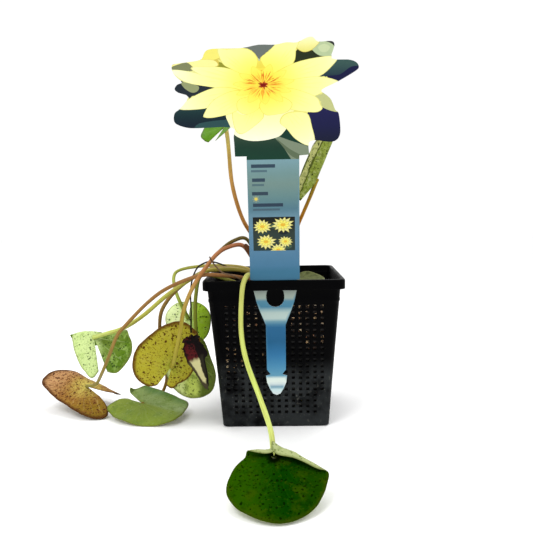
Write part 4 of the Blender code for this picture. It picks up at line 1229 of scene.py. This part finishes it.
PADS_AND_GLARE = [
    ((18, 58, 46), [(-31, 118), (-31, 92), (22, 92), (30, 108), (20, 122), (-10, 124)]),
    ((130, 135, 95), [(-71, 159), (-59, 163), (-49, 159), (-54, 158), (-68, 156)]),
    ((150, 150, 50), [(-38, 162), (-31, 162), (-28, 158), (-38, 159)]),
    ((34, 44, 52), [(-70, 146), (-63, 150), (-57, 149), (-40, 146), (-61, 140)]),
    ((150, 158, 112), [(-63, 150), (-56, 149), (-51, 147), (-52, 144), (-56, 143), (-61, 146)]),
    (("up", [(117, (14, 26, 44)), (126, (18, 44, 50)), (132, (30, 60, 60))]),
     [(-67, 133), (-47, 133), (-26, 130), (-26, 118), (-34, 117), (-55, 116), (-69, 119), (-73, 125)]),
    ((44, 78, 80), [(-52, 122), (-28, 124), (-26, 118), (-53, 116)]),
    ((110, 118, 112), [(-22, 172), (-11, 175), (3, 174), (-4, 168), (-8, 164), (-17, 170)]),
    ((192, 202, 160), [(-18, 169), (-15, 168), (-8, 164), (-10, 164)]),
    ((40, 48, 28), [(15, 161), (17, 169), (28, 169), (36, 166), (41, 165), (25, 163)]),
    ((46, 48, 46), [(32, 176), (43, 176), (46, 172), (43, 168), (38, 171)]),
    ((188, 206, 160), [(28, 170), (32, 175), (39, 174), (43, 171), (42, 165), (37, 165), (32, 166)]),
    ((206, 220, 172), [(32, 171), (36, 173), (40, 171), (38, 168), (34, 168)]),
    (("up", [(150, (30, 50, 66)), (160, (58, 88, 84))]),
     [(44, 164), (56, 164), (62, 160), (62, 157), (47, 148), (38, 152), (33, 152), (41, 158)]),
    ((22, 26, 66), [(62, 157), (47, 148), (38, 152), (47, 153), (55, 158)]),
    (("up", [(106, (18, 24, 48)), (118, (24, 26, 70)), (131, (30, 30, 80))]),
     [(24, 127), (37, 131), (48, 129), (51, 112), (46, 106), (38, 105), (30, 107), (27, 117)]),
    ((200, 204, 138), [(30, 139), (41, 140), (46, 133), (46, 128), (36, 131), (34, 136)]),
    (("up", [(94, (16, 60, 44)), (104, (24, 58, 44)), (114, (60, 76, 58))]),
     [(-30, 119), (0, 114), (9, 103), (19, 94), (-20, 92), (-20, 96), (-30, 96)]),
    ((128, 142, 118), [(0, 113), (12, 109), (28, 103), (28, 97), (20, 96), (19, 93), (15, 93), (7, 105)]),
    ((96, 112, 86), [(3, 110), (12, 103), (22, 97), (19, 95), (12, 99), (6, 106)]),
    # a painted reflection, not a pad: the near-white glare of the light on the laminate, showing between the
    # lower petals
    (("up", [(108, (262, 262, 232)), (130, (256, 252, 170))]),
     [(-30, 132), (-29.5, 118), (-25, 112), (-14, 109), (0, 110.5), (8, 115), (14, 130)]),
]
SMALL_PETALS = [
    (("up", [(168, (240, 232, 120)), (178, (260, 258, 196))]),
     [(17, 173), (24, 178), (29, 178.5), (33, 176), (32, 173), (27, 169), (22, 168), (18, 170)]),
    ((250, 240, 120), [(-49, 165), (-47, 170), (-41, 172.5), (-36, 172.5), (-35, 166), (-40, 164),
                       (-45, 163)]),
    ((255, 250, 160), [(-71, 160), (-64, 163), (-50, 164.5), (-39, 164), (-37, 160), (-52, 159),
                       (-59, 163)]),
]
PETALS = [
    [(-37, 171), (-31, 171), (-16, 171), (-9, 163), (-15, 152), (-28, 158), (-34, 162)],
    [(-8, 163), (-2, 169), (6, 176), (12, 179), (19, 176), (17, 170), (15, 161), (3, 152)],
    [(45, 164), (36, 165), (15, 161), (-1, 152), (17, 148), (33, 152), (42, 159)],
    [(47, 148), (33, 152), (13, 150), (2, 145), (20, 139), (30, 139), (40, 144)],
    [(-56, 159), (-46, 160), (-28, 158), (-11, 148), (-33, 149), (-44, 152)],
    [(-70, 158), (-57, 157), (-40, 152), (-16, 147), (-27, 143), (-40, 146), (-60, 150)],
    [(35, 130), (34, 133), (30, 139), (11, 145), (0, 141), (11, 131), (29, 128)],
    [(-66, 132), (-58, 139), (-40, 146), (-24, 145), (-19, 140), (-41, 135), (-48, 132)],
    [(-28, 130), (-20, 127), (-9, 132), (-6, 126), (-12, 120), (-22, 114), (-27, 118)],
    [(10, 128), (24, 128), (28, 118), (30, 108), (25, 105), (16, 110), (10, 117), (5, 122)],
    [(-48, 126), (-48, 129), (-41, 138), (-26, 144), (-13, 141), (-25, 130), (-40, 126)],
    [(-10, 131), (-16, 128), (-21, 128), (-25, 132), (-23, 138), (-10, 140), (-7, 136)],
    [(-9, 132), (-7, 137), (4, 140), (14, 135), (11, 129), (2, 127), (-5, 127)],
]
BARS = [  # across from, across to, up, half height, colour
    (-16.4, 1.5, 89.7, 1.3, (52, 72, 88)), (-16.5, -4.6, 86.0, 0.8, (84, 112, 122)),
    (-15.9, -6.2, 79.3, 1.3, (52, 72, 88)), (-16.0, -7.0, 75.6, 0.8, (84, 112, 118)),
    (-16.2, -4.1, 69.1, 1.3, (52, 70, 84)), (-15.7, 7.1, 60.3, 1.3, (46, 64, 82)),
    (-15.8, 4.7, 56.8, 0.8, (74, 100, 114)),
]
SUN = (-13.3, 65.0)
SCENE_BOX = (-16.2, 24.4, 16.0, 51.0)
PICTURED_LILIES = [  # where each is in the small picture, and its size
    ((2.9, 24.9), 7.6), ((8.6, 31.6), 6.6), ((-6.4, 31.6), 9.0), ((6.8, 44.8), 9.6), ((-9.0, 43.6), 8.6),
]
PANEL_INK = ("up", [
    (8, (62, 116, 146)), (12, (74, 123, 156)), (30, (92, 134, 164)), (52, (104, 142, 160)),
    (57, (84, 124, 140)), (66, (102, 138, 140)), (76, (118, 146, 140)), (84, (116, 150, 150)),
    (97, (126, 164, 176)),
])
STAKE_INK = ("up", [
    (-95.8, (236, 246, 246)), (-91, (214, 242, 244)), (-88.8, (126, 172, 194)), (-87.4, (156, 194, 212)),
    (-86, (246, 254, 248)), (-81.4, (232, 250, 242)), (-79.6, (108, 168, 196)), (-72, (84, 150, 189)),
    (-62, (58, 124, 172)), (-50, (36, 98, 141)), (-38, (42, 104, 148)), (-34, (100, 150, 170)),
    (-31, (190, 210, 204)), (-25, (176, 198, 194)), (-22, (74, 131, 160)), (-17, (80, 136, 162)),
    (-14.5, (156, 172, 162)), (-8, (154, 166, 158)), (0, (100, 140, 160)),
])
WATER_INK = ("up", [(24.4, (40, 58, 56)), (38, (48, 62, 56)), (51, (16, 22, 20))])
WATER_PADS = ((44, 66, 58), (66, 90, 72), (26, 36, 40))
SUN_INK = (226, 206, 96)
SUN_RAYS = (214, 196, 96)
LILY_RINGS = ((13, 1.0, (240, 234, 150)), (9, 0.64, (252, 242, 112)))  # petals, reach, colour
LILY_EDGE = (166, 154, 66)
LILY_HEART = (236, 186, 60)
CARD_BACK = (226, 230, 226)
CARD_EDGE = (236, 240, 236)
MOTTLE_TINT = (0.88, 0.88, 0.82, 1.0)
PRINT_GRID = 2.4  # between the card's own points, which carry the gradients
PRINT_RISE = (-96.0, 180.0)
PICTURE_FOOT = PANEL_TOP - 8


def fill_colour_at(fill_value, across, up):
    """The colour of a fill at a point of the card."""
    if not isinstance(fill_value[0], str):
        return fill_value
    kind, stops = fill_value
    value = up
    if kind == "ray":
        value = math.hypot(across - FLOWER_MIDDLE[0], (up - FLOWER_MIDDLE[1]) * RAY_SQUASH)
    places, colours = zip(*stops)
    return tuple(np.interp(value, places, channel) for channel in zip(*colours))


def rounded(points, steps=4):
    """A closed smooth outline through the points."""
    ring = [Vector(p) for p in (points[-1], *points, points[0], points[1])]
    return [tuple(p) for p in smooth_route(ring, steps)[steps:-steps - 1]]


def rectangle(left, low, right, high):
    """An outline of four corners."""
    return [(left, low), (right, low), (right, high), (left, high)]


def ellipse(centre, across, up, steps=20):
    angles = [math.tau * k / steps for k in range(steps)]
    return [(centre[0] + across * math.cos(a), centre[1] + up * math.sin(a)) for a in angles]


def grown(points, share, middle=None):
    """The points closer to a middle, or further from it; the middle is their own unless it is given."""
    middle = Vector(middle) if middle else sum((Vector(p) for p in points), Vector((0, 0))) / len(points)
    return [tuple(middle + (Vector(p) - middle) * share) for p in points]


def spoke(centre, angle, start, end, half, squash=0.62):
    """A thin leaf-shaped stroke that points away from a centre."""
    way = Vector((math.cos(angle), math.sin(angle)))
    side, waist = Vector((-way.y, way.x)) * half, way * (start + end) / 2
    corners = (way * start, waist + side, way * end, waist - side)
    return [(centre[0] + c.x, centre[1] + c.y * squash) for c in corners]


def kept_in(points, box):
    """The points, with those outside a box moved to its edge."""
    left, low, right, high = box
    return [(min(max(x, left), right), min(max(y, low), high)) for x, y in points]


def petal_shapes(points, edge, fill_value):
    """An edge and its fill, which is a little smaller."""
    return [(edge, rounded(points)), (fill_value, rounded(grown(points, PETAL_SHRINK)))]


def flower_shapes(rng):
    """The large flower: its petals with their veins, then its inner petals and its stamens."""
    middle = Vector(FLOWER_MIDDLE)
    shapes = []
    for fill_value, points in SMALL_PETALS:
        shapes += petal_shapes(grown(points, BLEED, FLOWER_MIDDLE), SMALL_PETAL_EDGE, fill_value)
    for points in PETALS:
        points = grown(points, BLEED, FLOWER_MIDDLE)
        shapes += petal_shapes(points, PETAL_EDGE, PETAL)
        way = max((Vector(p) - middle for p in points), key=lambda p: p.length)
        angle = math.atan2(way.y, way.x)
        for turn in (-0.08, 0.0, 0.08):
            end = way.length * (0.86 - abs(turn))
            shapes.append((PETAL_VEIN, spoke(middle, angle + turn, way.length * 0.42, end, 0.24, 1.0)))
    for k in range(INNER_PETALS):
        angle = math.tau * k / INNER_PETALS + 0.2
        petal = spoke(middle, angle, 3, 21 + 3 * rng.random(), 4.2)
        shapes += [(INNER_PETAL_EDGE, rounded(petal)), (INNER_PETAL, rounded(grown(petal, 0.9)))]
    for k in range(STAMENS):
        angle = math.tau * k / STAMENS + rng.uniform(-0.06, 0.06)
        shade = rng.choice(STAMEN_TONES)
        start, end = rng.uniform(1.5, 8.5), rng.uniform(10.0, 16.0)
        shapes.append((shade, spoke(middle, angle, start, end, rng.uniform(0.28, 0.5), 0.66)))
    for k in range(9):
        angle = math.tau * k / 9 + rng.uniform(-0.2, 0.2)
        shapes.append((STAMEN_HEART, spoke(middle, angle, 0.2, rng.uniform(3.2, 5.2), 0.5, 0.7)))
    return shapes + [(HEART, ellipse(middle, 2.0, 1.2))]


def picture_shapes(rng):
    """The small picture on the panel: lilies among pads."""
    left, low, right, high = SCENE_BOX
    shapes = [(WATER_INK, rectangle(*SCENE_BOX))]
    for _ in range(9):
        at = (rng.uniform(left + 4, right - 4), rng.uniform(low + 3, high - 3))
        shapes.append((rng.choice(WATER_PADS), ellipse(at, 3.8, 2.0, steps=14)))
    for at, size in PICTURED_LILIES:
        for count, reach, fill_value in LILY_RINGS:
            for k in range(count):
                angle = math.tau * k / count + size
                end = size * reach * rng.uniform(0.8, 1.0)
                petal = kept_in(spoke(at, angle, size * 0.08, end, size * 0.18, 0.76), SCENE_BOX)
                shapes += [(LILY_EDGE, petal), (fill_value, grown(petal, 0.86))]
        heart = ellipse(at, size * 0.2, size * 0.13, steps=12)
        shapes.append((LILY_HEART, kept_in(heart, SCENE_BOX)))
    return shapes


def print_and_glare_shapes(rng):
    """Every inked shape of the front, and the painted glare, from back to front: a fill and an outline."""
    shapes = [(fill_value, rounded(grown(points, BLEED, FLOWER_MIDDLE))) for fill_value, points in PADS_AND_GLARE]
    shapes.append((PANEL_INK, rectangle(-25, 0.0, 25, PANEL_TOP - 2.6)))
    shapes.append((STAKE_INK, rectangle(-25, -99, 25, 0.0)))
    shapes += flower_shapes(rng)
    for left, right, up, half, fill_value in BARS:
        shapes.append((fill_value, rectangle(left, up - half, right, up + half)))
    shapes += [(SUN_RAYS, spoke(SUN, math.tau * k / 8, 1.6, 2.6, 0.28, 1.0)) for k in range(8)]
    shapes.append((SUN_INK, ellipse(SUN, 1.3, 1.3)))
    return shapes + picture_shapes(rng)


def holds(outline, across, up):
    """Whether a point is inside an outline."""
    inside = False
    for (ax, ay), (bx, by) in zip(outline, outline[1:] + outline[:1]):
        if (ay > up) != (by > up) and across < ax + (up - ay) * (bx - ax) / (by - ay):
            inside = not inside
    return inside


def gap_to(outline, across, up):
    """The squared distance from a point to the nearest side of an outline."""
    best = math.inf
    for (ax, ay), (bx, by) in zip(outline, outline[1:] + outline[:1]):
        wide, tall = bx - ax, by - ay
        share = ((across - ax) * wide + (up - ay) * tall) / max(1e-9, wide * wide + tall * tall)
        share = max(0.0, min(1.0, share))
        best = min(best, (across - ax - share * wide) ** 2 + (up - ay - share * tall) ** 2)
    return best


def card_side(up):
    """The way that the printed side faces at a height of the flat card."""
    wall_lean = math.atan((WALL_TOP_HALF - BASE_HALF) / RIM_FOOT)
    lean = LABEL_LEAN if up > 0 else wall_lean
    if abs(up) < MM:
        lean = (LABEL_LEAN + wall_lean) / 2
    return Vector((0, -math.cos(lean), -math.sin(lean)))


def card_outlines():
    """The die-cut card laid flat: its edge, and the window in its stake."""
    head = smooth_route([Vector(p) for p in HEAD_OUTLINE], 3)
    left = [(-across, up) for across, up in reversed(STAKE_OUTLINE)]
    window = []
    for start, up in zip((math.pi, 0.0), WINDOW_RISE):
        for angle in (start + math.pi * step / WINDOW_STEPS for step in range(WINDOW_STEPS + 1)):
            window.append((WINDOW_HALF * math.cos(angle), up + WINDOW_HALF * math.sin(angle)))
    return [tuple(p) for p in head] + STAKE_OUTLINE + [STAKE_TIP] + left, window


def card_grid():
    """Points all over the card, in staggered rows."""
    low, high = PRINT_RISE
    for row in range(int((high - low) / PRINT_GRID) + 1):
        up = low + row * PRINT_GRID
        half = 75.0 if up > PANEL_TOP - 4 else 20.0
        for column in range(int(2 * half / PRINT_GRID) + 1):
            yield Vector((-half + (column + 0.5 * (row % 2)) * PRINT_GRID, up))


def filled_triangles(rng):
    """The flat card: its points, its triangles, and each one's fill, which is that of the topmost shape."""
    border, window = card_outlines()
    shapes = print_and_glare_shapes(rng)
    points, edges = [], []
    for outline in [border, window, *(outline for _, outline in shapes)]:
        start, count = len(points), len(outline)
        points += [Vector(p) for p in outline]
        edges += [(start + k, start + (k + 1) % count) for k in range(count)]
    points += card_grid()
    flat, _, triangles, _, _, _ = delaunay_2d_cdt(points, edges, [], 0, 1e-3)
    boxes = []
    for fill_value, outline in shapes:
        limits = [f(axis) for axis in zip(*outline) for f in (min, max)]
        boxes.append((*limits, fill_value, outline))
    pictured = [(fill_value, outline) for _, _, _, top, fill_value, outline in boxes if top > PICTURE_FOOT]
    kept, fill_values = [], []
    for triangle in triangles:
        x, y = (sum(flat[i][axis] for i in triangle) / 3 for axis in (0, 1))
        if not holds(border, x, y) or holds(window, x, y):
            continue
        for left, right, bottom, top, fill_value, outline in reversed(boxes):
            if left <= x <= right and bottom <= y <= top and holds(outline, x, y):
                break
        else:
            fill_value = min(pictured, key=lambda shape: gap_to(shape[1], x, y))[0]
        (ax, ay), (bx, by), (cx, cy) = (flat[i] for i in triangle)
        turned = (bx - ax) * (cy - ay) - (by - ay) * (cx - ax)
        kept.append(tuple(triangle) if turned > 0 else tuple(reversed(triangle)))
        fill_values.append(fill_value)
    return flat, kept, fill_values


def make_label(rng):
    """The die-cut card: each shape of the print, and the painted glare, is its own region of one closed mesh.
    """
    flat, kept, fill_values = filled_triangles(rng)
    used = sorted({i for triangle in kept for i in triangle})
    order = {old: new for new, old in enumerate(used)}
    count = len(used)
    places = []
    for side in (0.5, -0.5):
        for across, up in (flat[old] for old in used):
            places.append(label_place(across, up) + card_side(up) * LABEL_SHEET * MM * side)
    faces = [tuple(order[i] for i in triangle) for triangle in kept]
    halves = {(face[k], face[(k + 1) % 3]) for face in faces for k in range(3)}
    colours = [fill_colour_at(fill_value, *flat[i]) for triangle, fill_value in zip(kept, fill_values) for i in triangle]
    faces += [tuple(i + count for i in reversed(face)) for face in faces]
    colours += [CARD_BACK] * (3 * len(kept))
    rim = [(b, a, a + count, b + count) for a, b in sorted(halves) if (b, a) not in halves]
    faces += rim
    colours += [CARD_EDGE] * (4 * len(rim))
    label = new_piece("printed_card", places, faces, "printed_label", ["plant_label"], smooth=False)
    attribute = label.data.color_attributes.new("print", "FLOAT_COLOR", "CORNER")
    attribute.data.foreach_set("color", np.array([tone(*c) for c in colours], np.float32).ravel())

    shader = Shader("printed_laminate", 0.32, Coat_Weight=0.12, Coat_Roughness=0.12)
    place = shader.place()
    colour = shader.attribute("print", "Color")
    mottle = shader.times(shader.patches(place, 180.0, 0.35, 0.75, 4.0, 0.6), 0.18)
    colour = shader.mix(mottle, colour, shader.mix(1.0, colour, MOTTLE_TINT, "MULTIPLY"))
    label.data.materials.append(shader.finish(colour, shader.noise(place, 90.0), 0.05, 0.0006))


# ---------------------------------------------------------------- stage

FLOOR_HALF = 3.0
FLOOR_WHITE = 0.99
WORLD_STRENGTH = 1.02
LIGHTS_AIM = (-0.04, -0.02, 0.10)
LIGHTS = (  # name, place, size, power
    ("key_light", (-0.35, -0.55, 0.85), 0.40, 3.5),
    ("fill_light", (0.55, -0.35, 0.60), 0.60, 0.8),
    ("top_light", (0.0, 0.15, 1.0), 0.60, 2.5),
)
CAMERA_PLACE = (0.0019, -0.5046, 0.1821)
CAMERA_LENS = 38.78
CAMERA_TURNS = ((0.93, "Z"), (90 - 5.98, "X"), (-1.03, "Z"))  # degrees about each axis in turn


def make_stage():
    """A pale floor, a white world, soft lights, and the camera."""
    bm = bmesh.new()
    bmesh.ops.create_grid(bm, x_segments=1, y_segments=1, size=FLOOR_HALF)
    mesh = bpy.data.meshes.new("studio_floor")
    bm.to_mesh(mesh)
    bm.free()
    floor = bpy.data.objects.new("studio_floor", mesh)
    bpy.context.scene.collection.objects.link(floor)
    white = Shader("studio_white", 0.9, Base_Color=(FLOOR_WHITE, FLOOR_WHITE, FLOOR_WHITE, 1.0))
    mesh.materials.append(white.material)

    world = bpy.data.worlds.new("studio_world")
    world.use_nodes = True
    world.node_tree.nodes["Background"].inputs["Color"].default_value = (1.0, 1.0, 1.0, 1.0)
    world.node_tree.nodes["Background"].inputs["Strength"].default_value = WORLD_STRENGTH
    bpy.context.scene.world = world

    for name, place, size, power in LIGHTS:
        lamp = bpy.data.lights.new(name, "AREA")
        lamp.shape = "DISK"
        lamp.size = size
        lamp.energy = power
        thing = bpy.data.objects.new(name, lamp)
        thing.location = place
        aim = Vector(LIGHTS_AIM) - Vector(place)
        thing.rotation_euler = aim.to_track_quat("-Z", "Y").to_euler()
        bpy.context.scene.collection.objects.link(thing)

    lens = bpy.data.cameras.new("main_camera")
    lens.lens = CAMERA_LENS
    lens.sensor_width = 36.0
    lens.clip_start = 0.01
    camera = bpy.data.objects.new("main_camera", lens)
    camera.matrix_world = Matrix.Translation(CAMERA_PLACE)
    for degrees, axis in CAMERA_TURNS:
        camera.matrix_world = camera.matrix_world @ Matrix.Rotation(math.radians(degrees), 4, axis)
    bpy.context.scene.collection.objects.link(camera)
    bpy.context.scene.camera = camera
    bpy.context.scene.view_settings.view_transform = "Standard"


def main():
    rng = random.Random(7)
    make_basket()
    make_medium(rng)
    make_crown(rng)
    make_label(rng)
    for name, blade in BLADES.items():
        make_blade(name, blade, BLADE_LOOKS[name])
    for name, stalk in STALKS.items():
        make_stalk(name, stalk)
    make_stage()


main()
